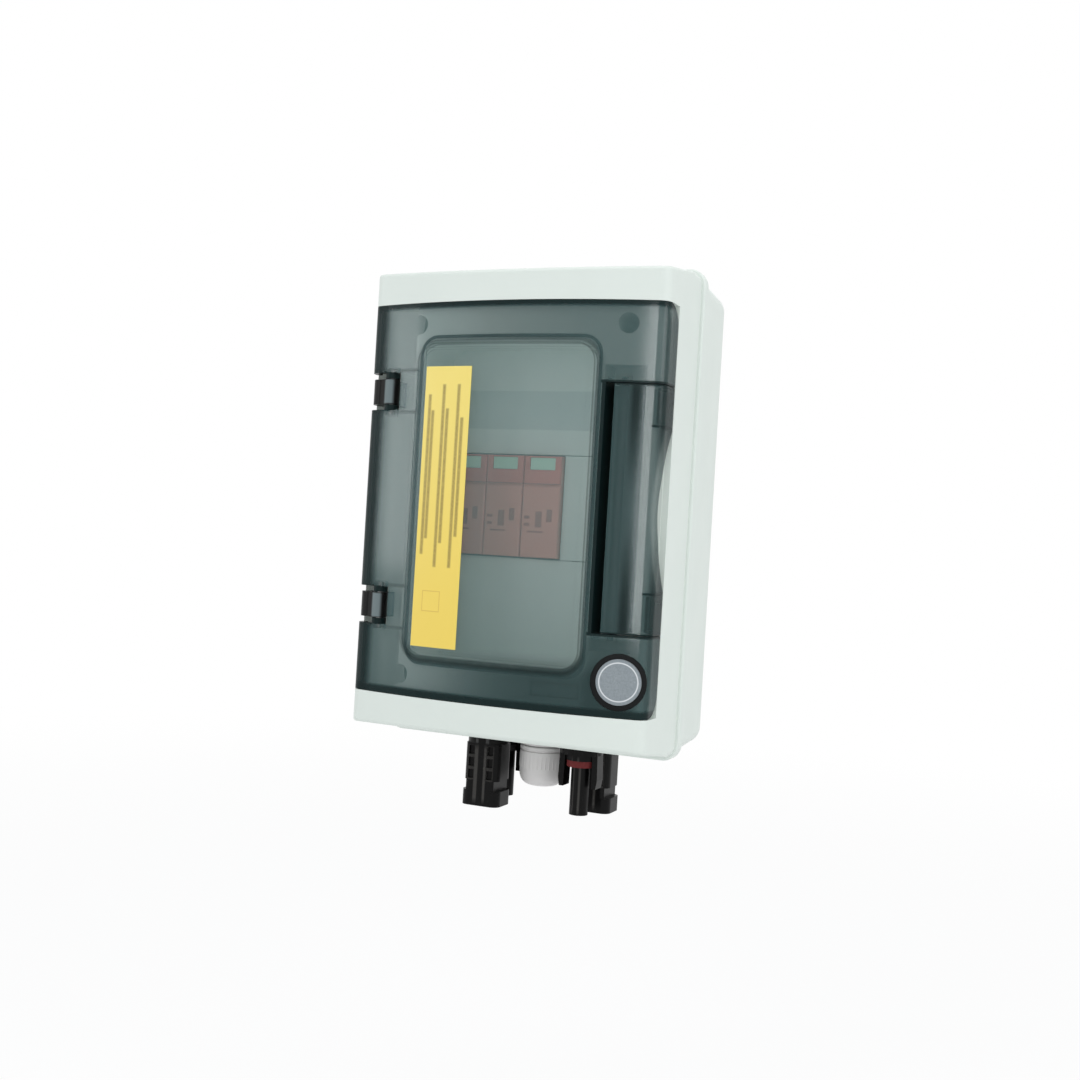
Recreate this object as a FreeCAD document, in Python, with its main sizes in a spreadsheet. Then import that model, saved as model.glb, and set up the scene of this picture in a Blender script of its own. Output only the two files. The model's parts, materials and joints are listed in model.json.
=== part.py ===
"""Solar combiner box: a wall housing with a smoked door, a surge protector and panel connectors.

Millimetres. X runs to the right, Z up, and the wall is the plane Y = 0, so the front faces -Y.
The origin is the middle of the back face.
"""
import FreeCAD, Part
import math
import os
import re
import Sketcher
from FreeCAD import Vector

SIZES = {
    # Housing, outside
    "housing_width": 140,
    "housing_height": 210,
    "housing_depth": 100,
    "base_depth": 47,
    "back_lean": 4.5,
    "side_lean": 1.5,
    "crown_lean": 7,
    "corner_radius": 6,
    "front_bow": 8.8,
    "cheek_radius": 5.5,
    "edge_round": 1.5,
    "back_radius": 8,
    "rim_lip": 1.4,
    "lip_width": 5,
    "lip_round": 1,
    # Housing, walls and seam
    "base_wall": 3.2,
    "cover_wall": 3,
    "seam_gap": 0.4,
    "tongue_wall": 1.6,
    "tongue_rise": 3,
    "gasket_rise": 2,
    "fit_gap": 0.15,
    # Door
    "crown_band": 13.3,
    "door_wall": 2.5,
    "door_gap": 0.3,
    "right_skirt": 21,
    "left_skirt": 15,
    "right_round": 9,
    "left_round": 4.5,
    "panel_width": 83,
    "panel_height": 136.5,
    "panel_rise": 0.8,
    "panel_radius": 9,
    "pane_margin": 4,
    "pane_rise": 0.6,
    "band_height": 17.8,
    "band_depth": 0.5,
    # Hinges
    "hinge_inset": 11,
    "hinge_sink": 9.5,
    "hinge_spacing": 94,
    "notch_height": 16.4,
    "notch_reach": 17.3,
    "knuckle_radius": 3.2,
    "ear_wall": 2.4,
    "pin_radius": 1.25,
    "running_gap": 0.05,
    "swing_gap": 0.6,
    "tenon_height": 5,
    "tenon_width": 3,
    # Handle
    "opening_width": 23.5,
    "slot_width": 3.7,
    "slot_wall": 1,
    "slot_wall_depth": 8.5,
    "handle_height": 102,
    "pivot_inset": 2.9,
    "pivot_sink": 8.4,
    "pivot_radius": 1.3,
    "pivot_boss": 2.2,
    "pivot_reach": 2.6,
    "scoop_height": 66,
    "scoop_depth": 10.3,
    "latch_sink": 18,
    "hook_height": 14,
    "hook_rise": 1.5,
    "hook_depth": 6,
    "hook_gap": 2,
    # Tray and device window
    "tray_width": 80,
    "tray_height": 138,
    "tray_sink": 33,
    "tray_radius": 6,
    "seal_inset": 0.9,
    "seal_width": 1.2,
    "seal_sink": 1.5,
    "window_left": 37.6,
    "window_width": 75,
    "window_height": 46,
    # Cover screws and wall fixing
    "screw_left_inset": 24.5,
    "screw_right_inset": 16.5,
    "screw_drop": 29,
    "screw_radius": 2,
    "screw_head_radius": 4,
    "screw_head_height": 3.5,
    "screw_stand": 13,
    "screw_grip": 16,
    "well_wall": 1.5,
    "fixing_x": 40,
    "fixing_z": 85,
    "fixing_radius": 2.5,
    # Rail
    "rail_stand": 3,
    "rail_length": 88,
    "rail_height": 35,
    "rail_depth": 7.5,
    "rail_sheet": 1,
    "rail_flange": 5,
    "rail_screw_x": 38,
    # Surge protector
    "module_width": 18,
    "module_count": 3,
    "module_left": 37,
    "device_height": 90,
    "tower_rise": 38.3,
    "bay_rise": 18.3,
    "plug_proud": 3,
    "plug_height": 44.6,
    "plug_gap": 0.3,
    "plug_round": 0.8,
    "flag_width": 12,
    "flag_height": 5.5,
    "flag_z": 18.8,
    "flag_sink": 1,
    "grip_z": 9.3,
    "grip_line": 1.2,
    "terminal_z": 34,
    "terminal_radius": 2.6,
    "terminal_sink": 5,
    "terminal_grip": 5,
    "latch_width": 14,
    "blank_leg": 1.6,
    # Label and badge
    "label_left": 36.2,
    "label_width": 22.6,
    "label_bottom": 62.8,
    "label_height": 119.8,
    "label_thickness": 0.25,
    "badge_inset": 11.3,
    "badge_drop": 27.7,
    "badge_radius": 9.4,
    "badge_ring": 2.15,
    "badge_sink": 1.2,
    "plate_x": 31,
    "plate_z": 75.6,
    "plate_width": 20,
    "plate_height": 6,
    # Entries in the bottom wall
    "entry_x": -3,
    "entry_spread": 23.5,
    "entry_depth": 24,
    "entry_row": 10.5,
    "thread_radius": 7.8,
    "thread_rise": 11,
    "entry_clearance": 0.2,
    "flange_radius": 9.6,
    "flange_height": 4.5,
    "seal_height": 1,
    "nut_height": 5,
    "shell_radius": 8.2,
    "shell_half_width": 9.5,
    "shell_corner": 4,
    "shell_length": 34.4,
    "shell_cavity": 5.9,
    "shell_flare": 0.7,
    "rib_width": 3.2,
    "notch_top": 22.6,
    "catch_height": 4.8,
    "recess_pitch": 5.6,
    "recess_rise": 4.2,
    "recess_sink": 1.1,
    "probe_radius": 4.3,
    "probe_length": 33.2,
    "arm_length": 20.5,
    "arm_thickness": 3,
    "gland_thread_radius": 8.4,
    "gland_radius": 11,
    "gland_nut_height": 19,
    "gland_hex_height": 4,
    "gland_crown": 7,
    "cable_hole_radius": 4.5,
}

# Places and lengths that follow from the sizes
PLACES = {
    "tall": "2 * housing_height",
    "back_width": "housing_width - 2 * back_lean",
    "front_width": "housing_width - 2 * side_lean",
    "front_height": "housing_height - 2 * crown_lean",
    "side_depth": "housing_depth - front_bow",
    "rim_depth": "base_depth + seam_gap",
    "bow_radius": "((front_width / 2) ^ 2 + front_bow ^ 2) / (2 * front_bow)",
    "door_height": "front_height - 2 * crown_band",
    "recess_height": "door_height + 2 * door_gap",
    "bed_inset": "door_wall + door_gap",
    "right_end": "housing_depth - right_skirt",
    "left_end": "housing_depth - left_skirt",
    "hinge_x": "front_width / 2 - hinge_inset",
    "hinge_depth": "housing_depth - hinge_sink",
    "swing_radius": "sqrt(hinge_inset ^ 2 + (hinge_depth - left_end) ^ 2) + swing_gap",
    "notch_edge": "front_width / 2 - notch_reach",
    "slot_left": "front_width / 2 - opening_width",
    "handle_left": "slot_left + slot_width",
    "pivot_x": "handle_left + pivot_inset",
    "pivot_depth": "housing_depth - pivot_sink",
    "latch_floor": "housing_depth - latch_sink",
    "tray_floor": "housing_depth - tray_sink",
    "screw_left": "front_width / 2 - screw_left_inset",
    "screw_right": "front_width / 2 - screw_right_inset",
    "screw_z": "housing_height / 2 - screw_drop",
    "screw_seat": "base_depth + screw_stand",
    "badge_x": "front_width / 2 - badge_inset",
    "badge_z": "front_height / 2 - badge_drop",
    "rail_face": "base_wall + rail_stand + rail_depth",
    "tower_front": "rail_face + tower_rise",
    "bay_floor": "rail_face + bay_rise",
    "plug_front": "tray_floor + plug_proud",
}

document = FreeCAD.newDocument("solar_combiner_box")
sheet = document.addObject("Spreadsheet::Sheet", "sizes")
for row, (name, number) in enumerate(SIZES.items(), start=1):
    sheet.set(f"A{row}", name)
    sheet.set(f"B{row}", str(number))
    sheet.setAlias(f"B{row}", name)
document.recompute()

pieces = []


def spelled(expression):
    """The expression with every place written out in sizes."""
    def written(word):
        return f"({spelled(PLACES[word.group()])})" if word.group() in PLACES else word.group()
    return re.sub(r"[a-z_][a-z0-9_]*", written, str(expression))


def bound(expression):
    """The expression with every size pointing at its cell in the sheet."""
    def cell(word):
        return "sizes." + word.group() if word.group() in SIZES else word.group()
    return re.sub(r"[a-z_][a-z0-9_]*", cell, spelled(expression))


def amount(expression):
    """The number that an expression on the sizes gives."""
    return float(sheet.evalExpression(spelled(expression)))


def new_body(label):
    """A sub-part of its own, which is written under this label."""
    body = document.addObject("PartDesign::Body", label)
    body.Label = label
    pieces.append(body)
    return body


def draw(body, plane, distance="0", across="0", up="0", turn="0"):
    """A sketch in a plane of the body: plan (XY), front (XZ, facing -Y) or side (YZ)."""
    role = {"plan": "XY_Plane", "front": "XZ_Plane", "side": "YZ_Plane"}[plane]
    support = [item for item in body.Origin.OriginFeatures if item.Role == role][0]
    sketch = body.newObject("Sketcher::SketchObject", f"{body.Name}_{plane}_outline")
    sketch.AttachmentSupport = [(support, "")]
    sketch.MapMode = "FlatFace"
    sketch.AttachmentOffset = FreeCAD.Placement(Vector(0, 0, 0), FreeCAD.Rotation(Vector(0, 1, 0), amount(turn)))
    sketch.setExpression("AttachmentOffset.Base.x", bound(across))
    sketch.setExpression("AttachmentOffset.Base.y", bound(up))
    sketch.setExpression("AttachmentOffset.Base.z", bound(distance))
    if turn != "0":
        sketch.setExpression("AttachmentOffset.Rotation.Angle", bound(turn))
    return sketch


def constrain(sketch, kind, *references, value):
    """Add a dimension whose value follows the sizes."""
    index = sketch.addConstraint(Sketcher.Constraint(kind, *references, amount(value)))
    sketch.setExpression(f"Constraints[{index}]", bound(value))


def outline(sketch, corners):
    """Draw a closed outline of (x, y) corners.

    A third value is the radius of the run to the next corner: above zero it turns left, below
    zero it turns right.
    """
    points = [Vector(amount(corner[0]), amount(corner[1]), 0) for corner in corners]
    ends = []
    for index, corner in enumerate(corners):
        start = points[index]
        finish = points[(index + 1) % len(points)]
        if len(corner) == 2:
            edge = sketch.addGeometry(Part.LineSegment(start, finish))
            ends.append((edge, 1, 2))
            continue
        radius = amount(corner[2])
        chord = finish - start
        reach = math.sqrt(max(radius ** 2 - (chord.Length / 2) ** 2, 0))
        across = Vector(-chord.y, chord.x, 0).normalize()
        centre = (start + finish) * 0.5 + across * math.copysign(reach, radius)
        first, last = (start, finish) if radius > 0 else (finish, start)
        angles = [math.atan2(point.y - centre.y, point.x - centre.x) for point in (first, last)]
        if angles[1] < angles[0]:
            angles[1] += 2 * math.pi
        circle = Part.Circle(centre, Vector(0, 0, 1), abs(radius))
        edge = sketch.addGeometry(Part.ArcOfCircle(circle, angles[0], angles[1]))
        ends.append((edge, 1, 2) if radius > 0 else (edge, 2, 1))
    for index, corner in enumerate(corners):
        edge, start, finish = ends[index]
        following, following_start, _ = ends[(index + 1) % len(ends)]
        sketch.addConstraint(Sketcher.Constraint("Coincident", edge, finish, following, following_start))
        constrain(sketch, "DistanceX", -1, 1, edge, start, value=corner[0])
        constrain(sketch, "DistanceY", -1, 1, edge, start, value=corner[1])
        if len(corner) == 3:
            constrain(sketch, "Radius", edge, value=f"abs({corner[2]})")


def rectangle(sketch, left, right, bottom, top):
    """Draw a rectangle between four places."""
    outline(sketch, [(left, bottom), (right, bottom), (right, top), (left, top)])


def rounded(sketch, width, height, radius, x="0", y="0"):
    """Draw a rectangle with round corners about (x, y)."""
    half_width = f"({width}) / 2"
    half_height = f"({height}) / 2"
    left, right = f"({x}) - {half_width}", f"({x}) + {half_width}"
    bottom, top = f"({y}) - {half_height}", f"({y}) + {half_height}"
    outline(sketch, [
        (f"{left} + {radius}", bottom),
        (f"{right} - ({radius})", bottom, radius),
        (right, f"{bottom} + {radius}"),
        (right, f"{top} - ({radius})", radius),
        (f"{right} - ({radius})", top),
        (f"{left} + {radius}", top, radius),
        (left, f"{top} - ({radius})"),
        (left, f"{bottom} + {radius}", radius),
    ])


def ring(sketch, radius, x="0", y="0"):
    """Draw a circle about (x, y)."""
    centre = Vector(amount(x), amount(y), 0)
    edge = sketch.addGeometry(Part.Circle(centre, Vector(0, 0, 1), amount(radius)))
    constrain(sketch, "DistanceX", -1, 1, edge, 3, value=x)
    constrain(sketch, "DistanceY", -1, 1, edge, 3, value=y)
    constrain(sketch, "Radius", edge, value=radius)


def extrude(kind, sketch, length, both=False, turned=False):
    """Pad or Pocket a sketch by a length."""
    body = sketch.getParentGeoFeatureGroup()
    feature = body.newObject(f"PartDesign::{kind}", f"{body.Name}_{kind.lower()}")
    feature.Profile = sketch
    feature.SideType = "Symmetric" if both else "One side"
    feature.Reversed = turned
    feature.setExpression("Length", bound(length))
    return feature


def pad(sketch, length, **ways):
    """Add material along the sketch's normal."""
    return extrude("Pad", sketch, length, **ways)


def pocket(sketch, length, **ways):
    """Cut material against the sketch's normal."""
    return extrude("Pocket", sketch, length, **ways)


def turn_about(sketch, kind="Revolution"):
    """Revolve or groove a sketch once round its own vertical axis."""
    body = sketch.getParentGeoFeatureGroup()
    feature = body.newObject(f"PartDesign::{kind}", f"{body.Name}_{kind.lower()}")
    feature.Profile = sketch
    feature.ReferenceAxis = (sketch, ["V_Axis"])
    feature.Angle = 360
    return feature


def dress(body, kind, size, chosen):
    """Fillet or chamfer the edges of the body that a test chooses."""
    document.recompute()
    base = body.Tip
    names = [f"Edge{number}" for number, edge in enumerate(base.Shape.Edges, start=1) if chosen(edge)]
    feature = body.newObject(f"PartDesign::{kind}", f"{body.Name}_{kind.lower()}")
    feature.Base = (base, names)
    feature.setExpression("Radius" if kind == "Fillet" else "Size", bound(size))
    return feature


def near(value, expression, margin=0.05):
    """Whether a value lies at an expression's amount."""
    return abs(value - amount(expression)) < margin


def spots(edge):
    """The two ends and the middle of an edge."""
    low, high = edge.ParameterRange
    return [edge.valueAt(low), edge.valueAt((low + high) / 2), edge.valueAt(high)]


def place(body, x="0", y="0", z="0"):
    """Bind the body's place to the sizes."""
    for axis, expression in zip("xyz", (x, y, z)):
        body.setExpression(f"Placement.Base.{axis}", bound(expression))


def front(x, inset="0"):
    """How far the bowed front stands off the wall at x, less an inset."""
    return f"(housing_depth - bow_radius + sqrt((bow_radius - ({inset})) ^ 2 - ({x}) ^ 2))"


def side(depth, inset="0"):
    """Half the cover's width at a depth, less an inset."""
    lean = f"(housing_width - front_width) / 2 * (({depth}) - base_depth) / (side_depth - base_depth)"
    return f"(housing_width / 2 - ({inset}) - {lean})"


def crown(depth, inset="0"):
    """Half the cover's height at a depth, less an inset."""
    lean = f"(housing_height - front_height) / 2 * (({depth}) - base_depth) / (housing_depth - base_depth)"
    return f"(housing_height / 2 - ({inset}) - {lean})"


def bowed_run(left, right, inset):
    """Two corners joined along the bowed front, walked from left to right."""
    return [(left, f"-{front(left, inset)}", f"bow_radius - ({inset})"), (right, f"-{front(right, inset)}")]


def bowed_back(right, left, inset):
    """Two corners joined along the bowed front, walked from right to left."""
    return [(right, f"-{front(right, inset)}", f"-(bow_radius - ({inset}))"), (left, f"-{front(left, inset)}")]


def round_cheeks(body, inset):
    """Round the upright edges where the bowed front meets the sides, less an inset."""
    across = f"(front_width / 2 - ({inset}))"
    depth = front(across, inset)
    dress(body, "Fillet", f"cheek_radius - ({inset})", lambda edge: all(
        near(abs(spot.x), across) and near(-spot.y, depth) for spot in spots(edge)))


def trim_to_hull(body, inset):
    """Cut a block down to the cover's drafted and bowed form, less an inset."""
    shoulder = f"front_width / 2 - ({inset})"
    plan = draw(body, "plan")
    rectangle(plan, "-housing_width", "housing_width", "-2 * housing_depth", "housing_depth")
    outline(plan, [
        (f"-{side('0', inset)}", "housing_depth / 2"),
        (f"-{side('0', inset)}", "0"),
        *bowed_run(f"-({shoulder})", shoulder, inset),
        (side("0", inset), "0"),
        (side("0", inset), "housing_depth / 2"),
    ])
    pocket(plan, "tall", both=True)
    profile = draw(body, "side")
    rectangle(profile, "-2 * housing_depth", "housing_depth", "-housing_height", "housing_height")
    outline(profile, [
        ("housing_depth / 2", f"-{crown('-housing_depth / 2', inset)}"),
        ("housing_depth / 2", crown("-housing_depth / 2", inset)),
        ("-1.5 * housing_depth", crown("1.5 * housing_depth", inset)),
        ("-1.5 * housing_depth", f"-{crown('1.5 * housing_depth', inset)}"),
    ])
    pocket(profile, "2 * housing_width", both=True)


def make_back_box():
    """The drafted back box, with its entries, rail posts, screw bosses and sealing tongue."""
    body = new_body("back_box")
    plan = draw(body, "plan")
    outline(plan, [
        ("-back_width / 2", "0"), ("-housing_width / 2", "-base_depth"),
        ("housing_width / 2", "-base_depth"), ("back_width / 2", "0"),
    ])
    pad(plan, "housing_height", both=True)
    dress(body, "Fillet", "back_radius", lambda edge: (
        near(abs(edge.valueAt(edge.ParameterRange[0]).y - edge.valueAt(edge.ParameterRange[1]).y), "base_depth")))
    hollow = draw(body, "plan")
    lean = "(housing_width - back_width) / 2 / base_depth"
    outline(hollow, [
        (f"-(back_width / 2 - base_wall + base_wall * {lean})", "-base_wall"),
        (f"-(housing_width / 2 - base_wall + {lean})", "-(base_depth + 1)"),
        (f"housing_width / 2 - base_wall + {lean}", "-(base_depth + 1)"),
        (f"back_width / 2 - base_wall + base_wall * {lean}", "-base_wall"),
    ])
    pocket(hollow, "housing_height - 2 * base_wall", both=True)
    tongue = draw(body, "front", "base_depth - 1")
    margin = "base_wall - tongue_wall"
    rounded(tongue, f"housing_width - 2 * ({margin})", f"housing_height - 2 * ({margin})",
            f"(corner_radius - ({margin}))")
    rounded(tongue, "housing_width - 2 * base_wall", "housing_height - 2 * base_wall",
            "(corner_radius - base_wall)")
    pad(tongue, "tongue_rise + 1")
    bosses = draw(body, "front", "base_wall / 2")
    for across in ("-screw_left", "screw_right"):
        for up in ("-screw_z", "screw_z"):
            ring(bosses, "screw_head_radius + well_wall", across, up)
    pad(bosses, "base_depth - base_wall / 2")
    bores = draw(body, "front", "base_depth")
    for across in ("-screw_left", "screw_right"):
        for up in ("-screw_z", "screw_z"):
            ring(bores, "screw_radius + running_gap", across, up)
    pocket(bores, "base_depth - 2 * base_wall")
    posts = draw(body, "front", "base_wall / 2")
    for across in ("-rail_screw_x", "rail_screw_x"):
        rectangle(posts, f"{across} - 6", f"{across} + 6", "-rail_height / 3", "rail_height / 3")
    pad(posts, "base_wall / 2 + rail_stand")
    pilots = draw(body, "front", "base_wall + rail_stand")
    for across in ("-rail_screw_x", "rail_screw_x"):
        ring(pilots, "screw_radius + running_gap", across, "0")
    pocket(pilots, "rail_stand + base_wall / 2")
    fixings = draw(body, "front", "base_wall + 1")
    for across in ("-fixing_x", "fixing_x"):
        for up in ("-fixing_z", "fixing_z"):
            ring(fixings, "fixing_radius", across, up)
    pocket(fixings, "base_wall + 2")
    entries = draw(body, "plan", "-(housing_height / 2 - base_wall - 1)")
    for across in ("entry_x - entry_spread", "entry_x + entry_spread"):
        for row_sign in ("-", "+"):
            ring(entries, "thread_radius + entry_clearance", across, f"-(entry_depth {row_sign} entry_row)")
    ring(entries, "gland_thread_radius + entry_clearance", "entry_x", "-entry_depth")
    pocket(entries, "base_wall + 2")
    return body


def make_cover_core():
    """The hollow inside the front cover, one wall smaller than its outside."""
    core = document.addObject("PartDesign::Body", "cover_core")
    block = draw(core, "front", "rim_depth - 1")
    rounded(block, "housing_width - 2 * cover_wall", "housing_height - 2 * cover_wall",
            "(corner_radius - cover_wall)")
    pad(block, "housing_depth")
    trim_to_hull(core, "cover_wall")
    return core


def make_front_cover():
    """The front cover: bowed shell, door bed, sunk tray, hinge channel, latch pocket and screw wells."""
    body = new_body("front_cover")
    block = draw(body, "front", "rim_depth")
    rounded(block, "housing_width", "housing_height", "corner_radius")
    pad(block, "housing_depth - base_depth")
    hollow = body.newObject("PartDesign::Boolean", "front_cover_hollow")
    hollow.Type = "Cut"
    hollow.setObjects([make_cover_core()])
    bed = draw(body, "plan")
    bed_back = "(right_end - 2 * cover_wall)"
    inner = "bed_inset + cover_wall"
    shoulder = f"front_width / 2 - ({inner})"
    outline(bed, [
        (f"-{side(bed_back, '0')}", f"-{bed_back}"), ("-housing_width / 2", "-(housing_depth + 1)"),
        ("housing_width / 2", "-(housing_depth + 1)"), (side(bed_back, "0"), f"-{bed_back}"),
        (side(bed_back, inner), f"-{bed_back}"),
        *bowed_back(shoulder, f"-({shoulder})", inner),
        (f"-{side(bed_back, inner)}", f"-{bed_back}"),
    ])
    pad(bed, "recess_height + 2 * cover_wall", both=True)
    channel = draw(body, "plan")
    ring(channel, "swing_radius + cover_wall", "-hinge_x", "-hinge_depth")
    pad(channel, "recess_height + 2 * cover_wall", both=True)
    tray = draw(body, "front", "tray_floor - cover_wall")
    rounded(tray, "tray_width + 2 * cover_wall", "tray_height + 2 * cover_wall", "(tray_radius + cover_wall)")
    pad(tray, "housing_depth - tray_floor")
    latch = draw(body, "front", "latch_floor - cover_wall")
    latch_half = "(handle_height / 2 + 3 * pivot_reach)"
    rectangle(latch, "slot_left - 2 * cover_wall / 3", "front_width / 2 - cover_wall",
              f"-({latch_half} + cover_wall)", f"{latch_half} + cover_wall")
    pad(latch, "housing_depth - latch_floor")
    wells = draw(body, "front", "rim_depth")
    for across in ("-screw_left", "screw_right"):
        for up in ("-screw_z", "screw_z"):
            ring(wells, "screw_head_radius + well_wall", across, up)
    pad(wells, "side_depth - rim_depth")
    trim_to_hull(body, "0")
    round_cheeks(body, "0")
    dress(body, "Fillet", "edge_round", lambda edge: all(
        -spot.y > amount("side_depth - cheek_radius - 1") and abs(spot.z) > amount("front_height / 2 - 0.5")
        for spot in spots(edge)) and not near(edge.Length, "cheek_radius", 4))
    lip = draw(body, "front", "rim_depth")
    rounded(lip, "housing_width + 2 * rim_lip", "housing_height + 2 * rim_lip", "(corner_radius + rim_lip)")
    rounded(lip, "housing_width - cover_wall", "housing_height - cover_wall", "(corner_radius - cover_wall / 2)")
    pad(lip, "lip_width")
    dress(body, "Fillet", "lip_round", lambda edge: near(-spots(edge)[1].y, "rim_depth + lip_width") and all(
        abs(spot.x) > amount("(housing_width + rim_lip) / 2") or abs(spot.z) > amount("(housing_height + rim_lip) / 2")
        for spot in spots(edge)[::2]))
    recess = draw(body, "plan")
    right_back = "(right_end - 2 * door_gap)"
    left_back = "(left_end - 2 * door_gap)"
    shoulder = "front_width / 2 - bed_inset"
    outline(recess, [
        ("housing_width", f"-{right_back}"), (side(right_back, "bed_inset"), f"-{right_back}"),
        *bowed_back(shoulder, f"-({shoulder})", "bed_inset"),
        (f"-{side(left_back, "bed_inset")}", f"-{left_back}"), ("-housing_width", f"-{left_back}"),
        ("-housing_width", "-2 * housing_depth"), ("housing_width", "-2 * housing_depth"),
    ])
    pocket(recess, "recess_height", both=True)
    round_cheeks(body, "bed_inset")
    channel_cut = draw(body, "plan")
    ring(channel_cut, "swing_radius", "-hinge_x", "-hinge_depth")
    pocket(channel_cut, "recess_height", both=True)
    tray_cut = draw(body, "front", "tray_floor")
    rounded(tray_cut, "tray_width", "tray_height", "tray_radius")
    pocket(tray_cut, "housing_depth", turned=True)
    groove = draw(body, "front", seal_seat())
    seal_outline(groove, "0.1")
    pocket(groove, "housing_depth", turned=True)
    window = draw(body, "front", "tray_floor + 1")
    rectangle(window, "-window_left", "window_width - window_left", "-window_height / 2", "window_height / 2")
    pocket(window, "cover_wall + 2")
    latch_cut = draw(body, "front", "latch_floor")
    rectangle(latch_cut, "slot_left - slot_wall - 2 * door_gap", "front_width / 2 - cover_wall - 2 * door_wall",
              f"-{latch_half}", latch_half)
    pocket(latch_cut, "housing_depth", turned=True)
    heads = draw(body, "front", "screw_seat")
    for across in ("-screw_left", "screw_right"):
        for up in ("-screw_z", "screw_z"):
            ring(heads, "screw_head_radius + 2 * fit_gap", across, up)
    pocket(heads, "housing_depth", turned=True)
    bores = draw(body, "front", "screw_seat + 1")
    for across in ("-screw_left", "screw_right"):
        for up in ("-screw_z", "screw_z"):
            ring(bores, "screw_radius + 2 * fit_gap", across, up)
    pocket(bores, "screw_seat")
    rebate = draw(body, "front", "rim_depth - 1")
    margin = "(base_wall - tongue_wall - fit_gap)"
    rounded(rebate, f"housing_width - 2 * {margin}", f"housing_height - 2 * {margin}", f"(corner_radius - {margin})")
    rounded(rebate, "housing_width - 6 * cover_wall", "housing_height - 6 * cover_wall", "corner_radius / 2")
    pocket(rebate, "1 - seam_gap + tongue_rise + gasket_rise", turned=True)
    for up in ("-hinge_spacing / 2", "hinge_spacing / 2"):
        mortise = draw(body, "front", "hinge_depth - swing_radius + 2", "0", up)
        rectangle(mortise, *tenon_span("fit_gap"), "-(tenon_height / 2 + fit_gap)", "tenon_height / 2 + fit_gap")
        pocket(mortise, "cover_wall + 3")
    for way in ("-", "+"):
        low, high = hook_span(way, "door_gap")
        groove = draw(body, "front", "right_end - 2 * door_gap")
        rectangle(groove, "front_width / 2 - door_wall - hook_rise - 2 * door_gap", "front_width", low, high)
        pocket(groove, "housing_depth", turned=True)
    return body


def tenon_span(gap):
    """The left and right sides of a hinge block's tenon, with a gap round it."""
    return f"-(hinge_x + 1 + tenon_width + {gap})", f"-(hinge_x + 1 - {gap})"


def hook_span(way, gap):
    """The lower and upper ends of a handle hook, with a gap round it."""
    middle = f"{way} (scoop_height / 2 + hook_gap + hook_height / 2)"
    return f"{middle} - (hook_height / 2 + {gap})", f"{middle} + hook_height / 2 + {gap}"


def make_hinge_block(name, up):
    """A hinge block that closes the door's notch, with a knuckle for the pin and a tenon through the cover."""
    body = new_body(name)
    block = draw(body, "plan", up)
    reach = "(swing_radius - fit_gap)"
    outline(block, [
        ("-hinge_x", "-(hinge_depth + knuckle_radius)"),
        ("-hinge_x", f"-(hinge_depth - {reach})", reach),
        (f"-(hinge_x + {reach} * sin(60))", f"-(hinge_depth - {reach} * cos(60))"),
        (f"-{side('left_end')}", "-(side_depth - cheek_radius)", "cheek_radius"),
        ("-(front_width / 2 - cheek_radius)", "-side_depth"),
    ])
    height = "notch_height - 2 * (ear_wall + door_gap)"
    pad(block, height, both=True)
    knuckle = draw(body, "plan", up)
    ring(knuckle, "knuckle_radius", "-hinge_x", "-hinge_depth")
    pad(knuckle, height, both=True)
    tenon = draw(body, "front", f"hinge_depth - {reach} + 1", "0", up)
    rectangle(tenon, *tenon_span("0"), "-tenon_height / 2", "tenon_height / 2")
    pad(tenon, "cover_wall + 2", turned=True)
    eye = draw(body, "plan", up)
    ring(eye, "pin_radius + running_gap", "-hinge_x", "-hinge_depth")
    pocket(eye, "notch_height", both=True)


def seal_seat():
    """How far the bottom of the door seal's groove stands off the wall."""
    return f"({front('tray_width / 2', 'bed_inset')} - seal_sink)"


def seal_outline(sketch, gap):
    """The two outlines of the door seal's ring, each with a gap round it."""
    outer = f"(seal_inset + seal_width + {gap})"
    inner = f"(seal_inset - {gap})"
    for grow in (outer, inner):
        rounded(sketch, f"tray_width + 2 * {grow}", f"tray_height + 2 * {grow}", f"(tray_radius + {grow})")


def make_door_seal():
    """The soft ring round the tray that the shut door rests on, with a face that keeps the bow."""
    body = new_body("door_seal")
    strip = draw(body, "front", f"{seal_seat()} + running_gap")
    seal_outline(strip, "0")
    pad(strip, "housing_depth - base_depth")
    beyond = draw(body, "plan")
    half = "(tray_width / 2 + 4)"
    inset = "door_wall + running_gap"
    outline(beyond, [
        *bowed_run(f"-{half}", half, inset), (half, "-2 * housing_depth"), (f"-{half}", "-2 * housing_depth"),
    ])
    pocket(beyond, "tray_height + 10", both=True)


def make_cover_gasket():
    """The sealing ring squeezed between the back box's tongue and the front cover."""
    body = new_body("cover_gasket")
    ring_sketch = draw(body, "front", "base_depth + tongue_rise")
    outer = "(base_wall - tongue_wall)"
    rounded(ring_sketch, f"housing_width - 2 * {outer}", f"housing_height - 2 * {outer}", f"(corner_radius - {outer})")
    rounded(ring_sketch, "housing_width - 2 * base_wall", "housing_height - 2 * base_wall",
            "(corner_radius - base_wall)")
    pad(ring_sketch, "gasket_rise - fit_gap")


def raise_patch(body, width, height, radius, rise):
    """Raise a round-cornered patch on the bowed front, with a face that keeps the bow."""
    block = draw(body, "front", f"{front(f'({width}) / 2')} - 1")
    rounded(block, width, height, radius)
    pad(block, "housing_depth / 2")
    beyond = draw(body, "plan")
    half = f"(({width}) / 2 + 1)"
    outline(beyond, [
        *bowed_run(f"-{half}", half, f"-({rise})"), (half, "-2 * housing_depth"), (f"-{half}", "-2 * housing_depth"),
    ])
    pocket(beyond, f"{height} + 2", both=True)


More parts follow.
